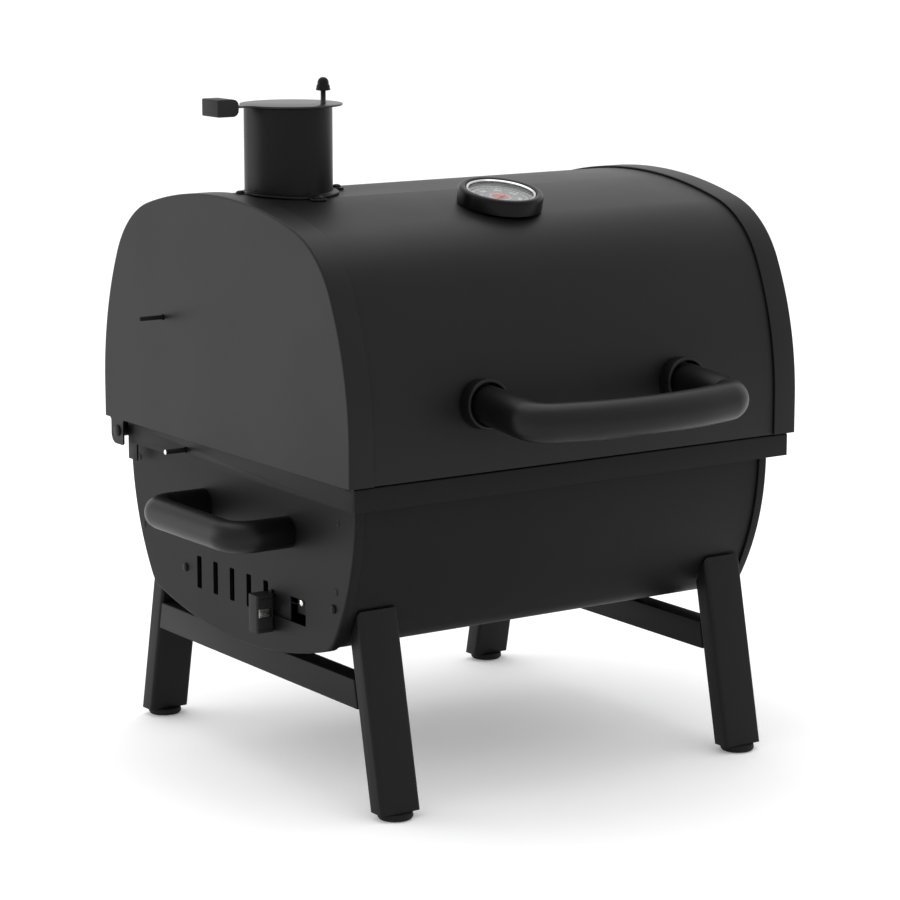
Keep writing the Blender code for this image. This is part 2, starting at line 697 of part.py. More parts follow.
def hinge_pin(name, sign):
    """A shoulder pin through the ear and the firebox end, with a flat head outside."""
    outer = LID_LENGTH / 2 + GAP
    inner = BOX_LENGTH / 2 - SHEET - 0.004
    outline = [
        (0, inner),
        (PIN_RADIUS, inner),
        (PIN_RADIUS, BOX_LENGTH / 2 + GAP),
        (0.0045, BOX_LENGTH / 2 + GAP),
        (0.0045, LID_LENGTH / 2 - SHEET - GAP),
        (PIN_RADIUS, LID_LENGTH / 2 - SHEET - GAP),
        (PIN_RADIUS, outer),
        (0.0045, outer),
        (0.0035, outer + 0.0022),
        (0, outer + 0.0022),
    ]
    frame = along_x(BARREL_Y + HINGE_Y, HINGE_Z)
    if sign < 0:
        frame = frame @ Matrix.Rotation(math.pi, 4, "X")
    turned(name, outline, frame, STEEL, 12)


def lid_handle():
    """A bowed tube whose ends stand in two cups on the lid's front."""
    tilt = math.asin((HANDLE_Z - LID_BASE_Z - LID_STRAIGHT) / LID_SIDE_RADIUS)
    face = LID_SIDE_RADIUS * math.cos(tilt) + LID_HALF_WIDTH - LID_SIDE_RADIUS - BAND_STEP
    pieces = []
    for side, sign in (("left", -1), ("right", 1)):
        spot = (sign * HANDLE_HALF_SPAN, BARREL_Y - face, HANDLE_Z)
        frame = Matrix.Translation(spot) @ Matrix.Rotation(math.pi / 2 - tilt, 4, "X")
        outline = [
            (0, 0.0006),
            (CUP_RADIUS, 0.0006),
            (CUP_RADIUS, CUP_DEPTH - 0.002),
            (CUP_RADIUS - 0.001, CUP_DEPTH),
            (CUP_RADIUS - 0.0025, CUP_DEPTH),
            (CUP_RADIUS - 0.0029, 0.0026),
            (0, 0.0026),
        ]
        pieces.append(turned("handle_cup_" + side, outline, frame, HANDLE_BLACK, 24))
    start = face + 0.0092
    root_z = HANDLE_Z + 0.0092 * math.tan(tilt)

    def spot(x, out):
        return (x, BARREL_Y - out, root_z - HANDLE_DROP * (out - start) / HANDLE_REACH)

    span = HANDLE_HALF_SPAN
    bow = LID_HALF_WIDTH + HANDLE_REACH

    def arched(x):
        return spot(x, bow + HANDLE_BOW * (1 - (x / span) ** 2))

    corner_left = [spot(-span, start), spot(-span, bow), arched(-0.055)]
    corner_right = [arched(0.055), spot(span, bow), spot(span, start)]
    middle = [Vector(arched(x)) for x in (-0.036, -0.018, 0, 0.018, 0.036)]
    left = round_path(corner_left, HANDLE_BEND)
    right = round_path(corner_right, HANDLE_BEND)
    path = left + middle + right
    pieces.append(rod("lid_handle", path, HANDLE_RADIUS, HANDLE_BLACK, 3))
    return pieces


# ---- chimney ----
def chimney():
    frame = Matrix.Translation((STACK_X, BARREL_Y, 0))
    bore = STACK_RADIUS - STACK_WALL
    tube = [
        (STACK_RADIUS, STACK_LOW_Z),
        (STACK_RADIUS, STACK_TOP_Z),
        (bore, STACK_TOP_Z),
        (bore, STACK_LOW_Z),
    ]
    pieces = [turned("chimney_stack", tube, frame, BLACK, 32), flange()]
    for i in range(4):
        angle = math.pi / 2 * i
        x = STACK_X + SCREW_CIRCLE * math.cos(angle)
        y = BARREL_Y + SCREW_CIRCLE * math.sin(angle)
        base = lid_surface_z(y) + FLANGE_THICK + 3 * GAP
        head = [(0, 0), (0.0034, 0), (0.0034, 0.0012), (0.0022, 0.0024), (0, 0.0024)]
        place = Matrix.Translation((x, y, base))
        pieces.append(turned(f"flange_screw_{i + 1}", head, place, STEEL, 12))
    stud_x = STACK_X + STUD_DX
    stud_y = BARREL_Y + STUD_DY
    flat = bore * math.cos(math.pi / 32)
    reach = math.sqrt(flat**2 - (abs(STUD_DY) + 0.0045) ** 2) - GAP
    u = (STACK_X - reach, STACK_X + reach)
    v = (stud_y - 0.0045, stud_y + 0.0045)
    slack = STUD_RADIUS + GAP
    hole = (stud_x - slack, stud_x + slack, stud_y - slack, stud_y + slack)
    pieces.append(pierced_plate("stud_bracket", u, v, [hole], "Z", 0.531, 0.533, BLACK))
    stud = [(0, 0.528), (STUD_RADIUS, 0.528), (STUD_RADIUS, STUD_TOP_Z), (0, STUD_TOP_Z)]
    place = Matrix.Translation((stud_x, stud_y, 0))
    pieces.append(turned("damper_stud", stud, place, STEEL, 12))
    seat = 0.5475
    nut = [
        (0, STUD_TOP_Z + GAP),
        (STUD_RADIUS + GAP, STUD_TOP_Z + GAP),
        (STUD_RADIUS + GAP, seat),
        (0.0058, seat),
        (0.0058, seat + 0.0036),
        (0.0044, seat + 0.0048),
        (0.0040, seat + 0.0082),
        (0.0020, seat + 0.0102),
        (0, seat + 0.0106),
    ]
    pieces.append(turned("acorn_nut", nut, place, BLACK, 12))
    return pieces


def flange():
    """A narrow ring with four screw tabs, bent to the lid's crown, under the stack's foot."""
    tab = (-9.5, -7.6, 0, 7.6, 9.5)
    degrees = [90 * q + d for q in range(4) for d in tab + (20, 30, 40, 50, 60, 70)]
    segments = len(degrees)
    inner = [(STACK_RADIUS + GAP, math.radians(d)) for d in degrees]
    outer = []
    for d in degrees:
        off_axis = abs((d + 45) % 90 - 45)
        outer.append((FLANGE_TAB_REACH if off_axis < 8 else FLANGE_RADIUS, math.radians(d)))
    bm = bmesh.new()
    rows = []
    for outline, lift in (
        (inner, GAP),
        (outer, GAP),
        (outer, GAP + FLANGE_THICK),
        (inner, GAP + FLANGE_THICK),
    ):
        row = []
        for radius, turn in outline:
            x, y = radius * math.cos(turn), radius * math.sin(turn)
            z = lid_surface_z(BARREL_Y + y) + lift
            row.append(bm.verts.new((STACK_X + x, BARREL_Y + y, z)))
        rows.append(row)
    for low, high in zip(rows, rows[1:] + rows[:1]):
        for i in range(segments):
            j = (i + 1) % segments
            bm.faces.new((low[i], low[j], high[j], high[i]))
    bmesh.ops.triangulate(bm, faces=bm.faces[:])
    return finish("chimney_flange", bm, BLACK, smooth=True)


def damper():
    """A disc with a tongue for its grip, turning on the stud at the stack's edge."""
    low = STACK_TOP_Z + GAP
    half_tongue = 0.006
    start = math.pi + math.asin(half_tongue / DAMPER_RADIUS)
    end = 3 * math.pi - math.asin(half_tongue / DAMPER_RADIUS)
    rim = [tuple(p) for p in arc((0, 0), DAMPER_RADIUS, start, end, 31)]
    tongue_end = -0.0665
    outline = rim + [(tongue_end, half_tongue), (tongue_end, -half_tongue)]
    outline = [(STACK_X + 0.003 + x, BARREL_Y + y) for x, y in outline]
    disc = prism("damper_disc", outline, "Z", low, low + DAMPER_THICK, BLACK)
    stud = Matrix.Translation((STACK_X + STUD_DX, BARREL_Y + STUD_DY, 0))
    slack = STUD_RADIUS + GAP
    bore = [(0, low - 0.01), (slack, low - 0.01), (slack, low + 0.01), (0, low + 0.01)]
    cut(disc, turned("damper_bore", bore, stud, BLACK, 12))
    middle = low + DAMPER_THICK / 2 - GRIP_SAG
    left = STACK_X + 0.003 + tongue_end - 0.0075
    corner = 0.004
    outline = [(left, middle - GRIP_HALF_HEIGHT)]
    right = left + GRIP_LENGTH
    for up, start, end in ((-1, -math.pi / 2, 0), (1, 0, math.pi / 2)):
        centre = (right - corner, middle + up * (GRIP_HALF_HEIGHT - corner))
        outline += [tuple(p) for p in arc(centre, corner, start, end, 3)]
    outline += [(left, middle + GRIP_HALF_HEIGHT)]
    grip_y = (BARREL_Y - GRIP_HALF_WIDTH, BARREL_Y + GRIP_HALF_WIDTH)
    grip = prism("damper_grip", outline, "Y", *grip_y, GRIP_BLACK)
    socket_x = (STACK_X + 0.003 + tongue_end - GAP, right + 0.005)
    socket_y = (BARREL_Y - half_tongue - GAP, BARREL_Y + half_tongue + GAP)
    cut(grip, box("tongue_socket", socket_x, socket_y, (low - GAP, low + DAMPER_THICK + GAP), BLACK))
    return [disc, grip]


# ---- thermometer ----
def gauge_frame():
    """Frame on the lid sheet with +Z along its outward normal."""
    radius = LID_CROWN_RADIUS - BAND_STEP
    y = BARREL_Y - radius * math.sin(GAUGE_TILT)
    z = LID_BASE_Z + LID_HEIGHT - LID_CROWN_RADIUS + radius * math.cos(GAUGE_TILT)
    return Matrix.Translation((GAUGE_X, y, z)) @ Matrix.Rotation(GAUGE_TILT, 4, "X")


def thermometer():
    frame = gauge_frame()
    well = DIAL_RADIUS + GAP
    floor = 0.0060
    housing = [
        (STEM_RADIUS + GAP, 0.0004),
        (GAUGE_RADIUS, 0.0004),
        (GAUGE_RADIUS, GAUGE_HEIGHT - 0.002),
        (GAUGE_RADIUS - 0.0015, GAUGE_HEIGHT),
        (well + 0.0008, GAUGE_HEIGHT),
        (well, GAUGE_HEIGHT - 0.0015),
        (well, floor),
        (STEM_RADIUS + GAP, floor),
    ]
    pieces = [turned("thermometer_housing", housing, frame, GRIP_BLACK, 32)]
    dial = [(0, floor + GAP), (DIAL_RADIUS, floor + GAP), (DIAL_RADIUS, floor + 0.0011), (0, floor + 0.0011)]
    pieces.append(turned("thermometer_dial", dial, frame, DIAL_GREY, 32))
    lens = [(0, 0.0098), (DIAL_RADIUS, 0.0098), (DIAL_RADIUS, 0.0110), (0, 0.0110)]
    pieces.append(turned("thermometer_lens", lens, frame, GLASS, 32))
    inner = DIAL_RADIUS - 0.0022
    bezel = [(inner, 0.0113), (DIAL_RADIUS, 0.0113), (DIAL_RADIUS, 0.0126), (inner + 0.0006, 0.0126)]
    pieces.append(turned("thermometer_ring", bezel, frame, STEEL, 32))
    stem = [
        (0, -STEM_LENGTH),
        (STEM_RADIUS, -STEM_LENGTH + 0.002),
        (STEM_RADIUS, floor),
        (0, floor),
    ]
    pieces.append(turned("thermometer_stem", stem, frame, STEEL, 12))
    return pieces


def needle():
    """A pointer with a round hub, over the dial; at rest it points at the scale's low end."""
    frame = gauge_frame()
    hub = [tuple(p) for p in arc((0, 0), 0.0028, math.radians(25), math.radians(335), 10)]
    outline = hub + [(0.021, -0.0004), (0.021, 0.0004)]
    turn = Matrix.Rotation(math.radians(215), 4, "Z")
    bm = bmesh.new()
    base = [bm.verts.new(frame @ turn @ Vector((u, v, 0.0075))) for u, v in outline]
    face = bm.faces.new(base)
    grown = bmesh.ops.extrude_face_region(bm, geom=[face])
    moved = [g for g in grown["geom"] if isinstance(g, bmesh.types.BMVert)]
    normal = frame.to_3x3() @ Vector((0, 0, 0.0008))
    bmesh.ops.translate(bm, verts=moved, vec=normal)
    return finish("thermometer_needle", bm, RED)


firebox()
rims()
stand()
carry_handles()
grates()
shutter()
warming_rack()
lid_pieces = lid() + lid_handle() + chimney() + thermometer()
pivot("lid_hinge", (0, BARREL_Y + HINGE_Y, HINGE_Z), lid_pieces)
pivot("damper_pivot", (STACK_X + STUD_DX, BARREL_Y + STUD_DY, STACK_TOP_Z), damper())
pivot("needle_pivot", gauge_frame().translation, [needle()])
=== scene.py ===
import json
import math

import bmesh
import bpy
from mathutils import Matrix, Vector


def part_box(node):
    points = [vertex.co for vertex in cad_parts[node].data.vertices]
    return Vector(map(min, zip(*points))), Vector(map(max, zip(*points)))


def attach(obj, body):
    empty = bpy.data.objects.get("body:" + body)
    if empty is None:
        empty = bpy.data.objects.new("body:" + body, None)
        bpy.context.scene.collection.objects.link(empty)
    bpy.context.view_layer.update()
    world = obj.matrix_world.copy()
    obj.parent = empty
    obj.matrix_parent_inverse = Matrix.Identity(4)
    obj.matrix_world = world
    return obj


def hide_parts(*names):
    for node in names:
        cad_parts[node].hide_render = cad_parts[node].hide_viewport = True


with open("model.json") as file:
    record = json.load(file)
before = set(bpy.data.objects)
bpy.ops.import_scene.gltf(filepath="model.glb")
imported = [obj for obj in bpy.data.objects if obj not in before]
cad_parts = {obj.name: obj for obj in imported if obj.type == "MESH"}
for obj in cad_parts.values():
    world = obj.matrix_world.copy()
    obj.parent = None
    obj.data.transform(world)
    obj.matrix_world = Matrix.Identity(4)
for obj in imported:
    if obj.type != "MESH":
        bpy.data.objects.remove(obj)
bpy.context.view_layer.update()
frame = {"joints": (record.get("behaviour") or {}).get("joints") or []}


def middleOf(node):
    low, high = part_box(node)
    return (low + high) / 2


def jointAt(name):
    return next(Vector(joint["pos_m"]) for joint in frame["joints"] if joint["name"] == name)


# places that every piece is worked out from, read off the frame
capLow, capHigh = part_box("lid_end_left")
barrelY = (capLow.y + capHigh.y) / 2
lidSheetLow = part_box("lid_sheet")[0]
hingeAt = jointAt("lid_hinge")
rackAt = jointAt("rack_level")
swingAt = jointAt("rack_swing")
studAt = jointAt("damper_swivel")
gap = 0.0003  # running clearance between neighbours
bothEnds = (("left", -1), ("right", 1))

# three arcs that meet smoothly: side, shoulder and crown
lidShape = {
    "halfLength": -capLow.x,
    "halfWidth": (capHigh.y - capLow.y) / 2,
    "straight": 0.028,
    "side": 0.262,
    "corner": 0.086,
    "crown": 0.425,
    "height": 0.2033,
    "base": lidSheetLow.z,
    "up": 1,
}
boxShape = {
    "halfLength": -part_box("firebox_end_left")[0].x,
    "halfWidth": 0.178,
    "straight": 0.018,
    "side": 0.205,
    "corner": 0.025,
    "crown": 0.473,
    "height": 0.1576,
    "base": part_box("firebox_end_left")[1].z,
    "up": -1,
}
sheetMetal = {"thick": 0.0015, "step": 0.0018, "lidBand": 0.022, "boxBand": 0.008, "press": 0.0016}
pinBores = {"hinge": 0.0028, "wire": 0.0027}  # radii of the holes for hinge pins and wire pins


class Link:
    # one output of a node; arithmetic on it adds Math nodes
    def __init__(self, finish, socket):
        self.finish = finish
        self.socket = socket

    def math(self, operation, first, second=0.0):
        return self.finish.node("ShaderNodeMath", {"operation": operation}, {0: first, 1: second})

    def __add__(self, other):
        return self.math("ADD", self, other)

    def __sub__(self, other):
        return self.math("SUBTRACT", self, other)

    def __rsub__(self, other):
        return self.math("SUBTRACT", other, self)

    def __mul__(self, other):
        return self.math("MULTIPLY", self, other)

    def above(self, edge):
        return self.math("GREATER_THAN", self, edge)

    def below(self, edge):
        return self.math("LESS_THAN", self, edge)

    __radd__ = __add__
    __rmul__ = __mul__


class Finish:
    # a material and its one Principled shader
    def __init__(self, name, **constants):
        self.material = bpy.data.materials.new(name)
        self.material.use_nodes = True
        self.nodes = self.material.node_tree.nodes
        self.links = self.material.node_tree.links
        self.shader = self.nodes["Principled BSDF"]
        for socket, value in constants.items():
            self.shader.inputs[socket.replace("_", " ")].default_value = value

    def node(self, kind, settings=None, inputs=None, output=0):
        made = self.nodes.new(kind)
        for key, value in (settings or {}).items():
            if key == "stops":
                for position, colour in value:
                    stop = made.color_ramp.elements.new(position)
                    stop.color = colour
                made.color_ramp.elements.remove(made.color_ramp.elements[0])
                made.color_ramp.elements.remove(made.color_ramp.elements[-1])
            else:
                setattr(made, key, value)
        for key, value in (inputs or {}).items():
            if isinstance(value, Link):
                self.links.new(value.socket, made.inputs[key])
            else:
                made.inputs[key].default_value = value
        return Link(self, made.outputs[output])

    def place(self):
        return self.node("ShaderNodeTexCoord", output="Object")

    def noise(self, place, scale, detail=2.0, rough=0.5):
        sockets = {"Vector": place, "Scale": scale, "Detail": detail, "Roughness": rough}
        return self.node("ShaderNodeTexNoise", None, sockets)

    def ramp(self, value, low, high):
        sockets = {"Value": value, "From Min": low, "From Max": high}
        return self.node("ShaderNodeMapRange", {"clamp": True}, sockets)

    def mix(self, factor, first, second):
        sockets = {"Factor": factor, 6: (*first, 1) if isinstance(first, tuple) else first}
        sockets[7] = (*second, 1) if isinstance(second, tuple) else second
        return self.node("ShaderNodeMix", {"data_type": "RGBA"}, sockets, output=2)

    def bump(self, height, strength, distance):
        sockets = {"Strength": strength, "Distance": distance, "Height": height}
        return self.node("ShaderNodeBump", None, sockets)

    def feed(self, socket, link):
        self.links.new(link.socket, self.shader.inputs[socket])

    def surface(self, colour, rough, height, strength, distance):
        # feeds colour, roughness and a bump of this height, and gives the material
        self.feed("Base Color", colour)
        self.feed("Roughness", rough)
        self.feed("Normal", self.bump(height, strength, distance))
        return self.material


def coatFinish(name, tone, gloss, rough, peelScale, peelDepth):
    # baked powder coat: fine orange peel over a slow drift in gloss
    finish = Finish(name, Specular_IOR_Level=gloss)
    place = finish.place()
    peel = finish.noise(place, peelScale, 3.0, 0.55)
    drift = finish.noise(place, 14.0, 2.0)
    speck = finish.ramp(finish.noise(place, peelScale * 2.3, 1.0), 0.66, 0.74)
    shade = finish.ramp(drift * 0.7 + peel * 0.3, 0.35, 0.65)
    dark, light, pale = ((tone * share,) * 3 for share in (0.9, 1.12, 1.6))
    colour = finish.mix(speck * 0.25, finish.mix(shade, dark, light), pale)
    gloss = rough + (drift - 0.5) * 0.10 + (peel - 0.5) * 0.08
    return finish.surface(colour, gloss, peel, peelDepth, 0.0002)


def plasticFinish(name, tone, grain, rough):
    # moulded plastic with a spark-eroded grain
    finish = Finish(name, Specular_IOR_Level=0.15)
    place = finish.place()
    pores = finish.noise(place, grain, 4.0, 0.6)
    drift = finish.noise(place, 30.0, 1.0)
    colour = finish.mix(drift, (tone * 0.85,) * 3, (tone * 1.2,) * 3)
    return finish.surface(colour, rough + (pores - 0.5) * 0.2, pores, 0.25, 0.0003)


def steelFinish(name, tone, rough, grain):
    # plated or turned steel with fine draw lines and faint tarnish
    finish = Finish(name, Metallic=1.0)
    place = finish.place()
    lines = finish.noise(place, grain, 2.0, 0.7)
    tarnish = finish.ramp(finish.noise(place, 60.0, 3.0), 0.45, 0.75)
    colour = finish.mix(tarnish, tone, tuple(channel * 0.72 for channel in tone))
    return finish.surface(colour, rough + (lines - 0.5) * 0.15 + tarnish * 0.1, lines, 0.12, 0.0001)


def enamelFinish(name):
    # glassy black enamel over cast bars, slightly wavy
    finish = Finish(name, Specular_IOR_Level=0.5)
    place = finish.place()
    waves = finish.noise(place, 220.0, 2.0)
    ash = finish.ramp(finish.noise(place, 35.0, 4.0, 0.65), 0.5, 0.8)
    colour = finish.mix(ash, (0.012, 0.012, 0.012), (0.035, 0.033, 0.031))
    return finish.surface(colour, 0.22 + ash * 0.35, waves, 0.2, 0.0004)


def insideFinish(name):
    # the coat inside the barrel, flatter than outside
    finish = Finish(name, Specular_IOR_Level=0.25)
    place = finish.place()
    peel = finish.noise(place, 900.0, 3.0)
    cloud = finish.noise(place, 18.0, 4.0, 0.6)
    colour = finish.mix(cloud, (0.012, 0.012, 0.012), (0.026, 0.025, 0.024))
    return finish.surface(colour, 0.6 + (cloud - 0.5) * 0.2, peel, 0.2, 0.0002)


def dialFinish(name, face):
    # printed dial: pale outer ring, grey band, warm middle, all by distance from its centre
    finish = Finish(name, Specular_IOR_Level=0.3)
    place = finish.place()
    radius = finish.node("ShaderNodeVectorMath", {"operation": "LENGTH"}, {0: place}, output="Value")
    inkGrain = finish.noise(place, 2600.0, 2.0)
    colour = finish.mix(radius.above(face["warm"]), (0.34, 0.055, 0.05), (0.17, 0.17, 0.17))
    hub = radius.above(face["warm"] * 0.55)
    colour = finish.mix(hub, (0.42, 0.13, 0.12), colour)
    edge = radius.above(face["warm"]) * radius.below(face["warm"] + 0.0006)
    colour = finish.mix(edge, colour, (0.55, 0.55, 0.55))
    scale = radius.above(face["scale"] - 0.0005) * radius.below(face["scale"])
    colour = finish.mix(scale, colour, (0.6, 0.6, 0.6))
    colour = finish.mix(radius.above(face["ring"]), colour, (0.62, 0.62, 0.61))
    colour = finish.mix(inkGrain * 0.25, colour, (0.08, 0.08, 0.08))
    return finish.surface(colour, 0.45 + inkGrain * 0.15, inkGrain, 0.05, 0.0001)


def glassFinish(name):
    finish = Finish(name, Base_Color=(0.9, 0.92, 0.92, 1), Specular_IOR_Level=0.5)
    place = finish.place()
    smear = finish.noise(place, 90.0, 3.0)
    finish.feed("Roughness", 0.04 + smear * 0.05)
    finish.feed("Alpha", 0.08 + smear * 0.05)
    return finish.material


def paintFinish(name, colour, rough):
    finish = Finish(name)
    place = finish.place()
    drift = finish.noise(place, 400.0, 2.0)
    finish.feed("Base Color", finish.mix(drift, tuple(c * 0.9 for c in colour), colour))
    finish.feed("Roughness", rough + (drift - 0.5) * 0.1)
    return finish.material


# tone, gloss, rough, peelScale, peel
lidCoat = coatFinish("lid_coat", 0.0055, 0.19, 0.44, 1150.0, 0.16)
boxCoat = coatFinish("firebox_coat", 0.0045, 0.125, 0.46, 1150.0, 0.16)
standCoat = coatFinish("stand_coat", 0.006, 0.145, 0.46, 1300.0, 0.18)
handleCoat = coatFinish("handle_coat", 0.002, 0.22, 0.38, 900.0, 0.10)
stackCoat = coatFinish("stack_coat", 0.004, 0.12, 0.36, 1150.0, 0.14)
discCoat = coatFinish("disc_coat", 0.008, 0.34, 0.34, 1150.0, 0.10)
wireCoat = coatFinish("wire_coat", 0.004, 0.12, 0.5, 2400.0, 0.10)
insideCoat = insideFinish("inside_coat")
gripPlastic = plasticFinish("grip_plastic", 0.012, 1900.0, 0.5)
gaugePlastic = plasticFinish("gauge_plastic", 0.001, 1500.0, 0.30)
footPlastic = plasticFinish("foot_plastic", 0.006, 1400.0, 0.62)
zincSteel = steelFinish("zinc_steel", (0.62, 0.63, 0.63), 0.28, 1600.0)
brightSteel = steelFinish("bright_steel", (0.72, 0.71, 0.69), 0.22, 2400.0)
darkSteel = steelFinish("dark_steel", (0.10, 0.10, 0.105), 0.38, 2400.0)
enamel = enamelFinish("enamel")
dialMarks = paintFinish("dial_marks", (0.75, 0.75, 0.74), 0.5)
needleRed = paintFinish("needle_red", (0.55, 0.05, 0.04), 0.4)
gaugeGlass = glassFinish("gauge_glass")
print("finishes ready")


def arc(centre, radius, start, end, steps):
    angles = [start + (end - start) * i / steps for i in range(steps + 1)]
    return [Vector((centre[0] + radius * math.cos(a), centre[1] + radius * math.sin(a))) for a in angles]


def archOutline(shape, inset=0.0, steps=14):
    # (y, z) points from the back foot over the crown to the front foot
    side = Vector((shape["halfWidth"] - shape["side"], shape["straight"]))
    crown = Vector((0.0, shape["height"] - shape["crown"]))
    near = shape["side"] - shape["corner"]
    far = shape["crown"] - shape["corner"]
    span = crown - side
    along = (near**2 - far**2 + span.length**2) / (2 * span.length)
    off = math.sqrt(near**2 - along**2)
    unit = span.normalized()
    normal = Vector((unit.y, -unit.x))
    corner = max((side + unit * along + normal * s * off for s in (1, -1)), key=lambda p: p.x)
    low = math.atan2(corner.y - side.y, corner.x - side.x)
    high = math.atan2(corner.y - crown.y, corner.x - crown.x)
    half = [Vector((shape["halfWidth"] - inset, 0.0))]
    half += arc(side, shape["side"] - inset, 0.0, low, steps)
    half += arc(corner, shape["corner"] - inset, low, high, steps)[1:]
    half += arc(crown, shape["crown"] - inset, high, math.pi / 2, steps)[1:]
    whole = half + [Vector((-p.x, p.y)) for p in reversed(half[:-1])]
    return [Vector((barrelY + p.x, shape["base"] + shape["up"] * p.y)) for p in whole]


def crownHeight(y, inset=0.0):
    radius = lidShape["crown"] - inset
    drop = lidShape["base"] + lidShape["height"] - lidShape["crown"]
    return drop + math.sqrt(radius**2 - (y - barrelY) ** 2)


def roundedBox(halfU, halfV, radius, steps=5):
    points = []
    for su, sv, turn in ((1, 1, 0), (-1, 1, 90), (-1, -1, 180), (1, -1, 270)):
        centre = (su * (halfU - radius), sv * (halfV - radius))
        points += arc(centre, radius, math.radians(turn), math.radians(turn + 90), steps)
    return points


def meshObject(name, bm):
    bmesh.ops.recalc_face_normals(bm, faces=bm.faces)
    mesh = bpy.data.meshes.new(name)
    bm.to_mesh(mesh)
    bm.free()
    obj = bpy.data.objects.new(name, mesh)
    bpy.context.collection.objects.link(obj)
    return obj


def piece(name, bm, finish, body, stands=(), smooth=30, edge=0.0, place=None, cuts=(), joins=()):
    # makes a piece out of a bmesh: cutters first, then softened edges, then its finish, its place and its body
    bmesh.ops.remove_doubles(bm, verts=bm.verts, dist=1e-6)
    obj = meshObject(name, bm)
    for tool in (*joins, *cuts):
        modifier = obj.modifiers.new("shape", "BOOLEAN")
        modifier.solver = "EXACT"
        modifier.operation = "UNION" if tool in joins else "DIFFERENCE"
        modifier.object = tool
    if edge:
        modifier = obj.modifiers.new("edge", "BEVEL")
        modifier.width = edge
        modifier.segments = 3
        modifier.limit_method = "ANGLE"
        modifier.angle_limit = math.radians(40)
    settle(obj, smooth)
    for tool in (*joins, *cuts):
        bpy.data.objects.remove(tool, do_unlink=True)
    obj.data.materials.clear()
    obj.data.materials.append(finish)
    if place is not None:
        obj.matrix_world = place
    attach(obj, body)
    if stands:
        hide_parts(*stands)
    return obj


def settle(obj, smooth):
    # turns the modifiers' result into the piece's own mesh, with crisp folds and smooth rounds
    graph = bpy.context.evaluated_depsgraph_get()
    made = bpy.data.meshes.new_from_object(obj.evaluated_get(graph))
    obj.modifiers.clear()
    obj.data = made
    made.shade_smooth()
    made.set_sharp_from_angle(angle=math.radians(smooth))


def cutter(bm):
    obj = meshObject("cutter", bm)
    obj.hide_render = True
    return obj


def along(axis, u, v, w):
    return {"X": (w, u, v), "Y": (u, w, v), "Z": (u, v, w)}[axis]


def skin(bm, rows):
    # quads between each closed row of points and the next
    for near, far in zip(rows, rows[1:]):
        for i in range(len(near)):
            j = (i + 1) % len(near)
            bm.faces.new((near[i], near[j], far[j], far[i]))
    return bm


def addPrism(bm, outline, axis, low, high):
    rows = [[bm.verts.new(along(axis, p[0], p[1], w)) for p in outline] for w in (low, high)]
    bm.faces.new(rows[0])
    bm.faces.new(rows[1])
    return skin(bm, rows)


def prism(outline, axis, low, high):
    return addPrism(bmesh.new(), outline, axis, low, high)


def block(x, y, z):
    outline = [(x[0], y[0]), (x[1], y[0]), (x[1], y[1]), (x[0], y[1])]
    return prism(outline, "Z", z[0], z[1])


def addTurned(bm, outline, segments, matrix=None):
    # (radius, height) points turned about +Z; radius 0 is a pole
    matrix = matrix or Matrix.Identity(4)
    rows = []
    for radius, height in outline:
        count = 1 if radius == 0 else segments
        turns = [2 * math.pi * i / segments for i in range(count)]
        points = [Vector((radius * math.cos(turn), radius * math.sin(turn), height)) for turn in turns]
        rows.append([bm.verts.new(matrix @ point) for point in points])
    pairs = list(zip(rows, rows[1:]))
    if all(radius > 0 for radius, height in outline):
        pairs.append((rows[-1], rows[0]))
    for low, high in pairs:
        for i in range(segments):
            j = i + 1
            corners = (low[i % len(low)], low[j % len(low)], high[j % len(high)], high[i % len(high)])
            bm.faces.new(list(dict.fromkeys(corners)))
    return bm


def turned(outline, segments=64):
    return addTurned(bmesh.new(), outline, segments)


def bend(points, radius, steps=12):
    # rounds every inner corner of a 3-D path to an arc
    path = [Vector(points[0])]
    for before, here, after in zip(points, points[1:], points[2:]):
        here = Vector(here)
        back = (Vector(before) - here).normalized()
        ahead = (Vector(after) - here).normalized()
        half = back.angle(ahead) / 2
        if half > math.radians(89.5):
            path.append(here)
            continue
        centre = here + (back + ahead).normalized() * (radius / math.sin(half))
        reach = radius / math.tan(half)
        start = (here + back * reach - centre).normalized()
        end = (here + ahead * reach - centre).normalized()
        path += [centre + start.slerp(end, i / steps) * radius for i in range(steps + 1)]
    return path + [Vector(points[-1])]


def addRod(bm, path, radius, sides=16, chamfer=0.0):
    # a round bar along a path; its section is carried along without twisting
    path = [Vector(p) for p in path]
    radii = [radius] * len(path)
    if chamfer:
        for end, inner in ((0, 1), (-1, -2)):
            spot = path[end] + (path[inner] - path[end]).normalized() * chamfer
            path.insert(1 if end == 0 else len(path) - 1, spot)
        radii = [radius - chamfer] + [radius] * (len(path) - 2) + [radius - chamfer]
    ways = [(b - a).normalized() for a, b in zip(path, path[1:])]
    tangents = [ways[0]] + [(a + b).normalized() for a, b in zip(ways, ways[1:])] + [ways[-1]]
    side = tangents[0].orthogonal().normalized()
    rows = []
    for i, (spot, tangent) in enumerate(zip(path, tangents)):
        side = (side - tangent * side.dot(tangent)).normalized()
        other = tangent.cross(side)
        stretch = 1.0
        if 0 < i < len(path) - 1:
            stretch = 1 / max(0.5, tangent.dot(ways[i]))
        reach = min(stretch, 1.05)
        row = []
        for k in range(sides):
            turn = 2 * math.pi * k / sides
            row.append(bm.verts.new(spot + (side * math.cos(turn) + other * math.sin(turn)) * radii[i] * reach))
        rows.append(row)
    skin(bm, rows)
    bm.faces.new(rows[0])
    bm.faces.new(rows[-1])
    return bm


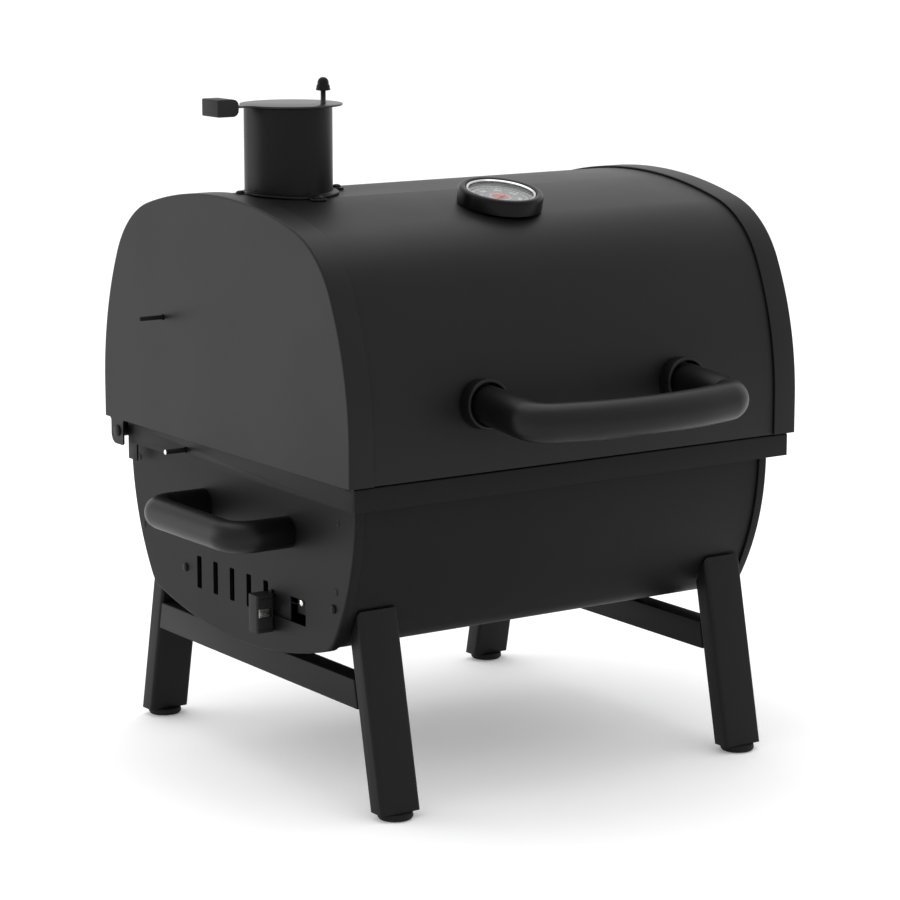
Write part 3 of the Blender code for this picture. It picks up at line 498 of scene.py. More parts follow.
def boxPiece(name, node, finish, body, edge):
    # a flat strip that fills its node's box
    low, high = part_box(node)
    strip = block((low.x, high.x), (low.y, high.y), (low.z, high.z))
    piece(name, strip, finish, body, [node], edge=edge)


def rod(path, radius, sides=16, chamfer=0.0):
    return addRod(bmesh.new(), path, radius, sides, chamfer)


def alongX(spot):
    return Matrix.Translation((0, spot.y, spot.z)) @ Matrix.Rotation(math.pi / 2, 4, "Y")


def boreX(spot, radius, x):
    outline = [(0, x[0]), (radius, x[0]), (radius, x[1]), (0, x[1])]
    return cutter(addTurned(bmesh.new(), outline, 32, alongX(spot)))


def screwHead(name, place, size, finish, body, stands=()):
    # pan head with a cross recess
    radius, height = size
    dome = [(0, 0), (radius, 0)]
    dome += [(radius * math.cos(a), height * (0.35 + 0.65 * math.sin(a))) for a in (0.0, 0.35, 0.7, 1.0, 1.25)]
    dome.append((0, height))
    cross = bmesh.new()
    for turn in (0.0, math.pi / 2):
        arm = roundedBox(radius * 0.62, radius * 0.13, radius * 0.05, 1)
        arm = [(u * math.cos(turn) - v * math.sin(turn), u * math.sin(turn) + v * math.cos(turn)) for u, v in arm]
        addPrism(cross, arm, "Z", height * (0.45 + 0.01 * turn), height * 1.4)
    return piece(name, turned(dome, 24), finish, body, stands, 35, 0.0, place, [cutter(cross)])


def pressedPan(shape, sign, band, tab=()):
    # an end plate with a pressed round into its band, open inside, as one skin of even thickness
    x = shape["halfLength"]
    thick = sheetMetal["thick"]
    press = sheetMetal["press"]
    outer = [(x, press * 1.8), (x, press)]
    turns = (math.pi / 8, math.pi / 4, 3 * math.pi / 8, math.pi / 2)
    outer += [(x - press + press * math.cos(a), press - press * math.sin(a)) for a in turns]
    outer += [(x - band + 0.0004, 0.0), (x - band, 0.0004)]
    inner = [(x - band, thick - 0.0004), (x - band + 0.0004, thick), (x - thick, thick), (x - thick, press * 1.8)]
    section = outer + inner
    bm = bmesh.new()
    rings = []
    for out, inset in section:
        rings.append([bm.verts.new((sign * out, p.x, p.y)) for p in archOutline(shape, inset)])
    for low, high in zip(rings, rings[1:]):
        for i in range(len(low) - 1):
            bm.faces.new((low[i], low[i + 1], high[i + 1], high[i]))
    # the plate's lower edge, with any tab that hangs below it, from the front foot to the back foot
    edges = []
    for out in (x, x - thick):
        edges.append([bm.verts.new((sign * out, p[0], p[1])) for p in tab])
    bm.faces.new(rings[0] + edges[0])
    bm.faces.new(rings[-1] + edges[1])
    front = [ring[-1] for ring in rings]
    back = [ring[0] for ring in rings]
    if not tab:
        bm.faces.new(front + back[::-1])
        return bm
    for i in range(len(tab) - 1):
        bm.faces.new((edges[0][i], edges[0][i + 1], edges[1][i + 1], edges[1][i]))
    bm.faces.new(front + [edges[1][0], edges[0][0]])
    bm.faces.new(back + [edges[1][-1], edges[0][-1]])
    return bm


def buildLidSheet():
    flue = {"radius": 0.0355, "low": 0.40, "high": 0.50}
    reach = lidShape["halfLength"] - sheetMetal["thick"] - gap
    outer = archOutline(lidShape, sheetMetal["step"], 22)
    inner = archOutline(lidShape, sheetMetal["step"] + sheetMetal["thick"], 22)
    stackX = middleOf("chimney_stack").x
    hole = [(0, flue["low"]), (flue["radius"], flue["low"]), (flue["radius"], flue["high"]), (0, flue["high"])]
    cuts = [cutter(addTurned(bmesh.new(), hole, 64, Matrix.Translation((stackX, barrelY, 0))))]
    piece("lid_sheet_skin", prism(outer + inner[::-1], "X", -reach, reach), lidCoat, "lid",
          ["lid_sheet"], edge=0.0003, cuts=cuts)


def buildLidEnds():
    # the hinge ear that hangs below each end, as an outline from front to back
    ear = {"front": 0.163, "back": 0.1835, "low": 0.2435, "round": 0.008, "root": 0.0018, "nick": 0.0015}
    top = lidShape["base"]
    front, back = barrelY + ear["front"], barrelY + ear["back"]
    tab = [Vector((front - ear["root"], top)), Vector((front, top - ear["root"]))]
    tab += [Vector((front, ear["low"] + ear["nick"])), Vector((front + ear["nick"], ear["low"]))]
    tab += arc((back - ear["round"], ear["low"] + ear["round"]), ear["round"], -math.pi / 2, 0.0, 8)
    tab += [Vector((back, top - ear["root"])), Vector((back + ear["root"], top))]
    for side, sign in bothEnds:
        x = (lidShape["halfLength"] - 0.004, lidShape["halfLength"] + 0.002)
        x = sorted(sign * value for value in x)
        cuts = [boreX(hingeAt, pinBores["hinge"], x), boreX(rackAt, pinBores["wire"], x)]
        pan = pressedPan(lidShape, sign, sheetMetal["lidBand"], tab)
        piece(f"lid_cap_{side}", pan, lidCoat, "lid", [f"lid_end_{side}"], cuts=cuts)


def buildHingePins():
    pin = {"radius": 0.0025, "spacer": 0.0045, "head": 0.0048, "headHeight": 0.0022}
    inner = boxShape["halfLength"] - sheetMetal["thick"] - 0.004
    seat = lidShape["halfLength"] - sheetMetal["thick"] - gap
    outer = lidShape["halfLength"] + gap
    slack = pin["radius"] + 0.0001
    for side, sign in bothEnds:
        shaft = [(0, inner), (pin["radius"], inner), (pin["radius"], outer + 0.001), (0, outer + 0.001)]
        near = boxShape["halfLength"] + gap
        spacer = [(slack, near), (pin["spacer"], near), (pin["spacer"], seat), (slack, seat)]
        place = alongX(hingeAt)
        if sign < 0:
            place = place @ Matrix.Rotation(math.pi, 4, "X")
        bm = addTurned(turned(shaft, 32), spacer, 32)
        piece(f"hinge_pin_{side}_shaft", bm, wireCoat, "stand", [f"hinge_pin_{side}"], 35,
              0.0002, place)
        head = place @ Matrix.Translation((0, 0, outer))
        size = (pin["head"], pin["headHeight"])
        screwHead(f"hinge_screw_{side}", head, size, lidCoat, "stand")


def buildLidHandle():
    grip = {"halfSpan": 0.0958, "z": 0.3185, "radius": 0.0152, "reach": 0.0695, "bow": 0.0123, "drop": 0.0063,
            "cup": 0.0195, "depth": 0.013, "bend": 0.0165, "seat": 0.0092, "straight": 0.055, "steps": 12}
    tilt = math.asin((grip["z"] - lidShape["base"] - lidShape["straight"]) / lidShape["side"])
    face = lidShape["side"] * math.cos(tilt) + lidShape["halfWidth"] - lidShape["side"] - sheetMetal["step"]
    rim, depth = grip["cup"], grip["depth"]
    cup = [(0, 0.0005), (rim - 0.0006, 0.0005), (rim, 0.0012), (rim, depth - 0.0012)]
    cup += [(rim - 0.0004, depth - 0.0003), (rim - 0.0012, depth), (rim - 0.0024, depth)]
    cup += [(rim - 0.0029, depth - 0.0006), (rim - 0.0031, 0.003), (0, 0.003)]
    for side, sign in bothEnds:
        place = Matrix.Translation((sign * grip["halfSpan"], barrelY - face, grip["z"]))
        place = place @ Matrix.Rotation(math.pi / 2 - tilt, 4, "X")
        piece(f"handle_cup_{side}_shell", turned(cup, 72), handleCoat, "lid",
              [f"handle_cup_{side}"], 30, 0.0002, place)
    start = face + grip["seat"]
    rootZ = grip["z"] + grip["seat"] * math.tan(tilt)

    def spot(x, out):
        return Vector((x, barrelY - out, rootZ - grip["drop"] * (out - start) / grip["reach"]))

    span = grip["halfSpan"]
    bow = lidShape["halfWidth"] + grip["reach"]
    middle = []
    for i in range(grip["steps"] + 1):
        x = grip["straight"] * (2 * i / grip["steps"] - 1)
        middle.append(spot(x, bow + grip["bow"] * (1 - (x / span) ** 2)))
    left = bend([spot(-span, start), spot(-span, bow), middle[0]], grip["bend"], 18)[:-1]
    right = bend([middle[-1], spot(span, bow), spot(span, start)], grip["bend"], 18)[1:]
    tube = rod(left + middle + right, grip["radius"], 48)
    piece("lid_handle_tube", tube, handleCoat, "lid", ["lid_handle"], 60, 0.0006)


def buildChimney():
    stack = {"wall": 0.0013, "lip": 0.0004, "bore": 0.0003, "stripEdge": 0.0004}
    low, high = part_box("chimney_stack")
    x = (low.x + high.x) / 2
    radius = (high.x - low.x) / 2
    inside = radius - stack["wall"]
    tube = [(radius, low.z), (radius, high.z - stack["lip"]), (radius - stack["lip"], high.z)]
    tube += [(inside + stack["bore"], high.z), (inside, high.z - stack["bore"]), (inside, low.z)]
    place = Matrix.Translation((x, barrelY, 0))
    piece("chimney_tube", turned(tube, 128), stackCoat, "lid", ["chimney_stack"], place=place)
    buildFlange(x, radius)
    boxPiece("stud_strip", "stud_bracket", stackCoat, "lid", stack["stripEdge"])
    buildStud()


def buildFlange(x, radius):
    # a narrow ring with four screw tabs, bent to the crown, its inner lip turned up
    saddle = {"radius": 0.0400, "reach": 0.0490, "half": 0.0065, "round": 0.0030, "thick": 0.0018,
              "segments": 360, "sunk": 0.0014}
    corner = saddle["half"] - saddle["round"]
    thick = saddle["thick"]
    bm = bmesh.new()

    def edgeAt(turn):
        # distance of the outer edge from the axis at this turn
        near = (turn + math.pi / 4) % (math.pi / 2) - math.pi / 4
        u, v = math.cos(near), abs(math.sin(near))
        reach = saddle["reach"] / u
        if reach * v > corner:
            # rounded corner: where the ray meets the corner's circle
            middle = Vector((saddle["reach"] - saddle["round"], corner))
            run = middle.x * u + middle.y * v
            inside = run**2 - middle.length_squared + saddle["round"] ** 2
            reach = run + math.sqrt(inside) if inside > 0 else 0.0
            if inside <= 0 or reach * u < middle.x:
                reach = saddle["half"] / v
        return max(saddle["radius"], min(reach, saddle["reach"] / u))

    # share of the way to the outer edge, height, step sideways
    profile = [(0.0, 0.0, gap), (1.0, 0.0, -0.0002), (1.0, 0.0003, 0.0), (1.0, thick - 0.0006, 0.0)]
    profile += [(1.0, thick, -0.0006), (0.0, thick, 0.0032), (0.0, thick + 0.0003, 0.0016)]
    profile += [(0.0, thick + 0.0010, gap)]
    rows = []
    for outer, lift, shift in profile:
        row = []
        for i in range(saddle["segments"]):
            turn = 2 * math.pi * i / saddle["segments"]
            out = radius + (edgeAt(turn) - radius) * outer + shift
            y = barrelY + out * math.sin(turn)
            row.append(bm.verts.new((x + out * math.cos(turn), y, crownHeight(y) + lift - saddle["sunk"])))
        rows.append(row)
    skin(bm, rows + rows[:1])
    piece("flange_saddle", bm, stackCoat, "lid", ["chimney_flange"], 35)
    for i in range(4):
        spot = middleOf(f"flange_screw_{i + 1}")
        lean = math.asin((spot.y - barrelY) / lidShape["crown"])
        place = Matrix.Translation((spot.x, spot.y, crownHeight(spot.y) + 0.0002))
        place = place @ Matrix.Rotation(-lean, 4, "X")
        screwHead(f"flange_screw_head_{i + 1}", place, (0.0036, 0.0026), stackCoat, "lid",
                  [f"flange_screw_{i + 1}"])


def buildStud():
    thread = {"root": 0.0019, "crest": 0.0023, "pitch": 0.0008}
    nut = {"bore": 0.0024, "skirt": 0.0058, "dome": 0.0045}
    low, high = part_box("damper_stud")
    place = Matrix.Translation((studAt.x, studAt.y, 0))
    outline = [(0, low.z)]
    for i in range(int((high.z - low.z) / thread["pitch"])):
        z = low.z + i * thread["pitch"]
        outline += [(thread["root"], z + 0.0001), (thread["crest"], z + thread["pitch"] / 2)]
    outline += [(thread["root"], high.z), (0, high.z)]
    piece("damper_stud_thread", turned(outline, 24), darkSteel, "lid", ["damper_stud"], 50,
          0.0, place)
    low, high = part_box("acorn_nut")
    skirt = nut["skirt"]
    outline = [(0, high.z - 0.0046), (nut["bore"], high.z - 0.0046), (nut["bore"], low.z), (skirt - 0.0008, low.z)]
    outline += [(skirt, low.z + 0.0004), (skirt, low.z + 0.0013), (skirt - 0.0003, low.z + 0.0018)]
    outline += [(skirt - 0.0006, low.z + 0.0040), (nut["dome"], low.z + 0.0050)]
    dome = arc((0, high.z - nut["dome"]), nut["dome"], 0.0, math.pi / 2, 10)
    outline += [tuple(p) for p in dome[:-1]] + [(0, high.z)]
    piece("acorn_cap", turned(outline, 48), stackCoat, "lid", ["acorn_nut"], 45, 0.0, place)


def buildDamper():
    lowD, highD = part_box("damper_disc")
    lowG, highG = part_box("damper_grip")
    radius = (highD.y - lowD.y) / 2
    centre = Vector((highD.x - radius, (lowD.y + highD.y) / 2))
    neck = {"half": 0.006, "end": lowD.x + 0.006, "flare": 0.004, "root": 0.003, "bore": 0.0026}
    start = math.pi + math.asin((neck["half"] + neck["flare"]) / radius)
    outline = [centre + p for p in arc((0, 0), radius, start, start + 2 * (2 * math.pi - start), 110)]
    root = centre.x - radius - neck["root"]
    outline += [Vector((x, centre.y + side * neck["half"])) for x, side in
                ((root, 1), (neck["end"], 1), (neck["end"], -1), (root, -1))]
    bore = [(0, lowD.z - 0.01), (neck["bore"], lowD.z - 0.01), (neck["bore"], highD.z + 0.01), (0, highD.z + 0.01)]
    cuts = [cutter(addTurned(bmesh.new(), bore, 32, Matrix.Translation((studAt.x, studAt.y, 0))))]
    disc = prism(outline, "Z", lowD.z, highD.z)
    piece("damper_plate", disc, discCoat, "damper", ["damper_disc"], edge=0.0003, cuts=cuts)
    # moulded grip: flat end and sides, inner end rolled round
    grip = {"roll": 0.0050, "nick": 0.0006, "edge": 0.0009}
    roll, nick = grip["roll"], grip["nick"]
    outline = [(lowG.x + nick, lowG.z), (lowG.x, lowG.z + nick), (lowG.x, highG.z - nick)]
    outline.append((lowG.x + nick, highG.z))
    outline += [tuple(p) for p in arc((highG.x - roll, highG.z - roll), roll, math.pi / 2, 0.0, 8)]
    outline += [tuple(p) for p in arc((highG.x - roll, lowG.z + roll), roll, 0.0, -math.pi / 2, 8)]
    piece("damper_knob", prism(outline, "Y", lowG.y, highG.y), gripPlastic, "damper",
          ["damper_grip"], 35, grip["edge"])


buildLidSheet()
buildLidEnds()
buildHingePins()
buildLidHandle()
buildChimney()
buildDamper()
print("lid, handle and chimney built")


dialSweep = {"first": 215.0, "turn": 250.0}  # degrees: the scale's low end, and how far it runs


def gaugePlace():
    tilt = math.radians(12.5)
    radius = lidShape["crown"] - sheetMetal["step"]
    centreZ = lidShape["base"] + lidShape["height"] - lidShape["crown"]
    spot = (middleOf("thermometer_housing").x, barrelY - radius * math.sin(tilt),
            centreZ + radius * math.cos(tilt))
    return Matrix.Translation(spot) @ Matrix.Rotation(tilt, 4, "X")


def gaugePart(name, outline, segments, finish, node, smooth, place):
    piece(name, turned(outline, segments), finish, "lid", [node], smooth, 0.0, place)


def buildThermometer():
    gauge = {"radius": 0.0344, "height": 0.0135, "dial": 0.0283, "floor": 0.0063, "marks": 26, "numbers": 6,
             "warm": 0.0105, "scale": 0.0235, "ring": 0.0268, "numberAt": 0.0158, "numberSize": 0.0046}
    place = gaugePlace()
    rim, height, dialRim = gauge["radius"], gauge["height"], gauge["dial"]
    well = dialRim + 0.0003
    case = [(0.0034, 0.0002), (rim - 0.0010, 0.0002), (rim, 0.0012), (rim, height - 0.0030)]
    case += [(rim - 0.0004, height - 0.0014), (rim - 0.0014, height - 0.0004), (rim - 0.0024, height)]
    case += [(well + 0.0012, height), (well + 0.0003, height - 0.0005), (well, height - 0.0014), (well, 0.0062)]
    case += [(0.0034, 0.0062)]
    gaugePart("gauge_case", case, 128, gaugePlastic, "thermometer_housing", 32, place)
    top = gauge["floor"] + 0.0008
    dial = [(0, gauge["floor"]), (dialRim, gauge["floor"]), (dialRim, top), (0, top)]
    gaugePart("gauge_dial", dial, 96, dialFinish("dial_print", gauge), "thermometer_dial", 30, place)
    buildDialPrint(gauge, place)
    inner = dialRim - 0.0020
    ring = [(inner, 0.0113), (dialRim, 0.0113), (dialRim, 0.0122), (dialRim - 0.0005, 0.0127)]
    ring += [(inner + 0.0007, 0.0124), (inner, 0.0119)]
    gaugePart("gauge_ring", ring, 128, brightSteel, "thermometer_ring", 40, place)
    lens = [(0, 0.0098), (dialRim - 0.0001, 0.0098), (dialRim - 0.0001, 0.0108)]
    lens += [(0.020, 0.0111), (0.010, 0.01118), (0, 0.0112)]
    gaugePart("gauge_lens", lens, 96, gaugeGlass, "thermometer_lens", 40, place)
    # stem with its nut and washer under the lid
    stem = [(0, -0.060), (0.0022, -0.0594), (0.003, -0.0585), (0.003, -0.0125), (0.0048, -0.0120)]
    stem += [(0.0048, -0.0090), (0.0075, -0.0088), (0.0075, -0.0042), (0.0082, -0.0040), (0.0082, -0.0019)]
    stem += [(0.003, -0.0017), (0.003, 0.0060), (0, 0.0060)]
    gaugePart("gauge_stem", stem, 48, brightSteel, "thermometer_stem", 32, place)
    buildNeedle(place)


def buildDialPrint(gauge, place):
    # long and short scale marks, and plain numbers, raised a hair off the dial
    top = gauge["floor"] + 0.0009
    marks = bmesh.new()
    for i in range(gauge["marks"]):
        turn = math.radians(dialSweep["first"] - dialSweep["turn"] * i / (gauge["marks"] - 1))
        inner, half = (0.0192, 0.00042) if i % 5 == 0 else (0.0212, 0.00022)
        ends = [(inner, -half), (0.0230, -half), (0.0230, half), (inner, half)]
        bar = [(u * math.cos(turn) - v * math.sin(turn), u * math.sin(turn) + v * math.cos(turn)) for u, v in ends]
        addPrism(marks, bar, "Z", top - 0.0002, top)
    piece("gauge_marks", marks, dialMarks, "lid", (), place=place)
    for i in range(gauge["numbers"]):
        turn = math.radians(dialSweep["first"] - dialSweep["turn"] * i / (gauge["numbers"] - 1))
        text = bpy.data.curves.new(f"dial_number_{i + 1}", "FONT")
        text.body = str(100 * (i + 1))
        text.size = gauge["numberSize"]
        text.align_x = text.align_y = "CENTER"
        text.extrude = 0.00005
        text.materials.append(dialMarks)
        obj = bpy.data.objects.new(f"dial_number_{i + 1}", text)
        bpy.context.collection.objects.link(obj)
        turnedTo = Matrix.Rotation(turn - math.pi / 2, 4, "Z")
        obj.matrix_world = place @ turnedTo @ Matrix.Translation((0, gauge["numberAt"], top))
        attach(obj, "lid")


def buildNeedle(place):
    pointer = {"hub": 0.0026, "length": 0.0205, "tail": 0.0065, "z": 0.0076, "thick": 0.0006}
    hub, z = pointer["hub"], pointer["z"]
    blade = [(pointer["length"], -0.00025), (pointer["length"], 0.00025), (0.004, 0.0010), (0.0, 0.0012)]
    blade += [(-pointer["tail"], 0.0013), (-pointer["tail"], -0.0013), (0.0, -0.0012), (0.004, -0.0010)]
    bm = prism(blade, "Z", z, z + pointer["thick"])
    boss = [(0, z - 0.0001), (hub, z - 0.0001), (hub, z + 0.0009), (hub - 0.0004, z + 0.0012), (0, z + 0.0013)]
    addTurned(bm, boss, 32)
    turn = Matrix.Rotation(math.radians(dialSweep["first"]), 4, "Z")
    piece("gauge_needle", bm, needleRed, "needle", ["thermometer_needle"], 35, 0.0, place @ turn)


buildThermometer()
print("thermometer built")


def buildTrough():
    reach = boxShape["halfLength"] - sheetMetal["thick"] - gap
    outer = archOutline(boxShape, sheetMetal["step"], 20)
    inner = archOutline(boxShape, sheetMetal["step"] + sheetMetal["thick"], 20)
    piece("firebox_skin", prism(outer + inner[::-1], "X", -reach, reach), boxCoat, "stand",
          ["firebox_trough"], edge=0.0003)


def openingCutter(y, z, x):
    # a round-cornered opening through x, from its limits in y and z
    outline = roundedBox((y[1] - y[0]) / 2, (z[1] - z[0]) / 2, 0.0012, 3)
    middleY, middleZ = (y[0] + y[1]) / 2, (z[0] + z[1]) / 2
    return cutter(prism([(middleY + p.x, middleZ + p.y) for p in outline], "X", *x))


def slotCutters(x):
    slots = {"count": 5, "first": 0.0635, "pitch": 0.0267, "half": 0.00375, "z": (0.138, 0.165)}
    middles = [barrelY + slots["first"] - i * slots["pitch"] for i in range(slots["count"])]
    return [openingCutter((y - slots["half"], y + slots["half"]), slots["z"], x) for y in middles]


def onLeftPanel(x, y, z):
    # +Z faces out of the left end
    return Matrix.Translation((x, barrelY + y, z)) @ Matrix.Rotation(-math.pi / 2, 4, "Y")


def buildFireboxEnds():
    window = {"y": (barrelY - 0.104, barrelY - 0.052), "z": (0.1395, 0.160)}
    dimples = [(0.163, 0.232), (-0.152, 0.231), (0.157, 0.175), (-0.149, 0.176)]
    dome = [(0, -0.0004), (0.0034, -0.0004), (0.0030, 0.0002), (0.0016, 0.00045), (0, 0.0005)]
    for side, sign in bothEnds:
        x = sorted(sign * value for value in (boxShape["halfLength"] - 0.004, boxShape["halfLength"] + 0.003))
        cuts = [boreX(hingeAt, pinBores["hinge"], x), boreX(swingAt, pinBores["wire"], x)]
        if side == "left":
            cuts += [*slotCutters(x), openingCutter(window["y"], window["z"], x)]
        pan = pressedPan(boxShape, sign, sheetMetal["boxBand"])
        piece(f"firebox_pan_{side}", pan, boxCoat, "stand", [f"firebox_end_{side}"], cuts=cuts)
        # weld dimples that hold the trough's tabs
        dots = bmesh.new()
        for y, z in dimples:
            spot = Matrix.Translation((sign * boxShape["halfLength"], barrelY + y, z))
            addTurned(dots, dome, 24, spot @ Matrix.Rotation(sign * math.pi / 2, 4, "Y"))
        piece(f"weld_dimples_{side}", dots, boxCoat, "stand", (), 50)
    for name, y, z in (("rail_screw_back", 0.086, 0.1515), ("rail_screw_front", -0.145, 0.162)):
        place = onLeftPanel(-boxShape["halfLength"], y, z)
        screwHead(name, place, (0.0036, 0.0022), stackCoat, "stand")
    # stop bolt and strap that show through the window
    stop = {"behind": 0.0052, "bolt": (-0.0900, 0.1555), "size": (0.0029, 0.0018), "thick": (0.0003, 0.0018),
            "y": (-0.099, -0.083), "z": (0.1460, 0.1700)}
    behind = -boxShape["halfLength"] + stop["behind"]
    screwHead("vent_stop_bolt", onLeftPanel(behind, *stop["bolt"]), stop["size"], brightSteel, "stand")
    strap = block([behind + v for v in stop["thick"]], [barrelY + v for v in stop["y"]], stop["z"])
    piece("vent_stop_strap", strap, boxCoat, "stand", (), edge=0.0003)


def buildRims():
    base = boxShape["base"]
    thick = sheetMetal["thick"]
    rim = {"tabStart": barrelY + 0.150, "tabLow": 0.232, "round": 0.0012}
    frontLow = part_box("rim_front")[0]
    frontWall = frontLow.y + thick + gap
    lip = base - thick
    r = rim["round"]
    fold = [(r - r * math.cos(a), r * math.sin(a)) for a in
            (0.0, math.pi / 8, math.pi / 4, 3 * math.pi / 8, math.pi / 2)]
    for name in ("front", "back", "left", "right"):
        low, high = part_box(f"rim_{name}")
        axis = "X" if name in ("front", "back") else "Y"
        k = 1 if axis == "X" else 0
        outward = -1 if name in ("front", "left") else 1
        outer, inner = (low[k], high[k]) if outward < 0 else (high[k], low[k])
        wall = outer - outward * thick
        section = [(outer, frontLow.z)] + [(outer - outward * u, base - r + v) for u, v in fold]
        section += [(inner, base), (inner, lip), (wall, lip), (wall, frontLow.z)]
        run = (low.x, high.x) if axis == "X" else (barrelY - boxShape["halfWidth"], high.y)
        cuts, joins = [], []
        if axis == "Y":
            # the corner wall in front and the deeper tab behind
            x = sorted((outer + outward * 0.002, outer - outward * 0.004))
            cuts = [boreX(swingAt, pinBores["wire"], x)]
            walls = sorted((outer, wall))
            joins = [cutter(block(walls, (frontWall, run[0] + 0.002), (frontLow.z, lip - gap)))]
            joins.append(cutter(block(walls, (rim["tabStart"], high.y), (rim["tabLow"], frontLow.z + 0.002))))
        piece(f"rim_strip_{name}", prism(section, axis, *run), boxCoat, "stand",
              [f"rim_{name}"], edge=0.0002, cuts=cuts, joins=joins)


def buildShutter():
    low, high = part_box("vent_shutter")
    knob = {"neck": (-0.0556, -0.0523), "neckZ": (0.143, 0.154), "neckEnd": -0.2140, "mouth": (0.1385, 0.1458),
            "lip": 0.0016, "round": 0.0018, "groove": 0.0028}
    plateX = -(boxShape["halfLength"] - sheetMetal["thick"] - gap)
    plate = block((plateX, plateX + 0.0012), (low.y, high.y), (low.z, high.z))
    cuts = slotCutters((plateX - 0.003, plateX + 0.006))
    piece("shutter_plate", plate, boxCoat, "shutter", ["vent_shutter"], cuts=cuts)
    neck = block((knob["neckEnd"], plateX + 0.0006), [barrelY + value for value in knob["neck"]], knob["neckZ"])
    piece("shutter_neck", neck, boxCoat, "shutter", (), edge=0.0003)
    # moulded block with a lipped mouth at its front side, where the bright clip shows
    low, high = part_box("shutter_grip")
    middle = [(low[k] + high[k]) / 2 for k in range(3)]
    half = [(high[k] - low[k]) / 2 for k in range(3)]
    outline = [(middle[0] + p.x, middle[1] + p.y) for p in roundedBox(half[0], half[1], knob["round"], 5)]
    mouthLow, mouthHigh = knob["mouth"]
    outside = low.y - 0.002
    cuts = [cutter(block((low.x + knob["lip"], high.x - knob["lip"]), (outside, low.y + 0.0030), knob["mouth"]))]
    for z in (low.z + knob["groove"], high.z - knob["groove"]):
        groove = block((low.x - 0.002, high.x + 0.002), (outside, low.y + 0.0004), (z - 0.0003, z + 0.0003))
        cuts.append(cutter(groove))
    piece("shutter_pull", prism(outline, "Z", low.z, high.z), gripPlastic, "shutter",
          ["shutter_grip"], 32, 0.0005, None, cuts)
    clip = block((low.x + 0.0018, high.x - 0.0036), (low.y + 0.0003, low.y + 0.0012),
                 (mouthLow + 0.0002, mouthHigh - 0.0002))
    piece("shutter_clip", clip, brightSteel, "shutter", (), edge=0.0002)
    catch = block((low.x + 0.0094, high.x - 0.0020), (low.y + 0.0018, low.y + 0.0026),
                  (mouthLow + 0.0006, mouthHigh - 0.0006))
    piece("shutter_catch", catch, darkSteel, "shutter", (), edge=0.0002)
    # channels that the shutter's long edges run in
    guide = {"overlap": 0.0025, "wall": 0.0015}
    for name, sign in (("low", -1), ("top", 1)):
        low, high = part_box(f"shutter_rail_{name}")
        near, far = (low.z, high.z) if sign > 0 else (high.z, low.z)
        edge = near + sign * guide["overlap"] + sign * gap
        back = low.x + guide["wall"]
        section = [(low.x, edge), (low.x, far), (high.x, far), (high.x, near), (back, near), (back, edge)]
        piece(f"shutter_guide_{name}", prism(section, "Y", low.y, high.y), insideCoat, "stand",
              [f"shutter_rail_{name}"], edge=0.0002)


def buildCarryHandles():
    grip = {"y": -0.012, "halfSpan": 0.066, "reach": 0.048, "z": 0.2107, "radius": 0.0127, "bend": 0.018}
    z = grip["z"]
    near, far = barrelY + grip["y"] - grip["halfSpan"], barrelY + grip["y"] + grip["halfSpan"]
    for side, sign in bothEnds:
        panel = sign * (boxShape["halfLength"] + gap)
        out = sign * (boxShape["halfLength"] + gap + grip["reach"])
        corners = [(panel, near, z), (out, near, z), (out, far, z), (panel, far, z)]
        tube = rod(bend(corners, grip["bend"], 18), grip["radius"], 48)
        piece(f"carry_tube_{side}", tube, handleCoat, "stand", [f"carry_handle_{side}"], 60,
              0.0003)


buildTrough()
buildFireboxEnds()
buildRims()
buildShutter()
buildCarryHandles()
print("firebox built")


def buildStand():
    tube = {"footZ": 0.006, "topZ": 0.167, "depth": 0.0179, "footY": 0.1925, "wall": 0.0015, "round": 0.0032,
            "splay": math.tan(math.radians(12)), "barEdge": 0.0012}
    envelope = [(p.x, p.y) for p in archOutline(boxShape, -gap, 20)]

    def middle(z):
        return tube["footY"] - tube["depth"] / 2 - (z - tube["footZ"]) * tube["splay"]

    for end in ("left", "right"):
        for row, sideY in (("front", -1), ("back", 1)):
            low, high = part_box(f"leg_{row}_{end}")
            x = (low.x + high.x) / 2
            halfX = (high.x - low.x) / 2
            outer = roundedBox(halfX, tube["depth"] / 2, tube["round"], 6)
            halfWell = tube["depth"] / 2 - tube["wall"]
            inner = roundedBox(halfX - tube["wall"], halfWell, tube["round"] * 0.55, 6)
            bm = bmesh.new()
            loops = []
            levels = ((outer, tube["footZ"]), (outer, tube["topZ"]), (inner, tube["topZ"]), (inner, tube["footZ"]))
            for outline, z in levels:
                y = barrelY + sideY * middle(z)
                loops.append([bm.verts.new((x + p.x, y + p.y, z)) for p in outline])
            skin(bm, loops + loops[:1])
            cuts = [cutter(prism(envelope, "X", -boxShape["halfLength"], boxShape["halfLength"]))]
            piece(f"leg_tube_{row}_{end}", bm, standCoat, "stand", [f"leg_{row}_{end}"], cuts=cuts)
            buildFoot(f"{row}_{end}", x, barrelY + sideY * middle(tube["footZ"]))
    for end in ("left", "right"):
        low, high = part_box(f"cross_bar_{end}")
        reach = [middle(z) - tube["depth"] / 2 - gap for z in (low.z, high.z)]
        outline = [(barrelY - reach[0], low.z), (barrelY + reach[0], low.z)]
        outline += [(barrelY + reach[1], high.z), (barrelY - reach[1], high.z)]
        piece(f"cross_tube_{end}", prism(outline, "X", low.x, high.x), standCoat, "stand",
              [f"cross_bar_{end}"], edge=tube["barEdge"])


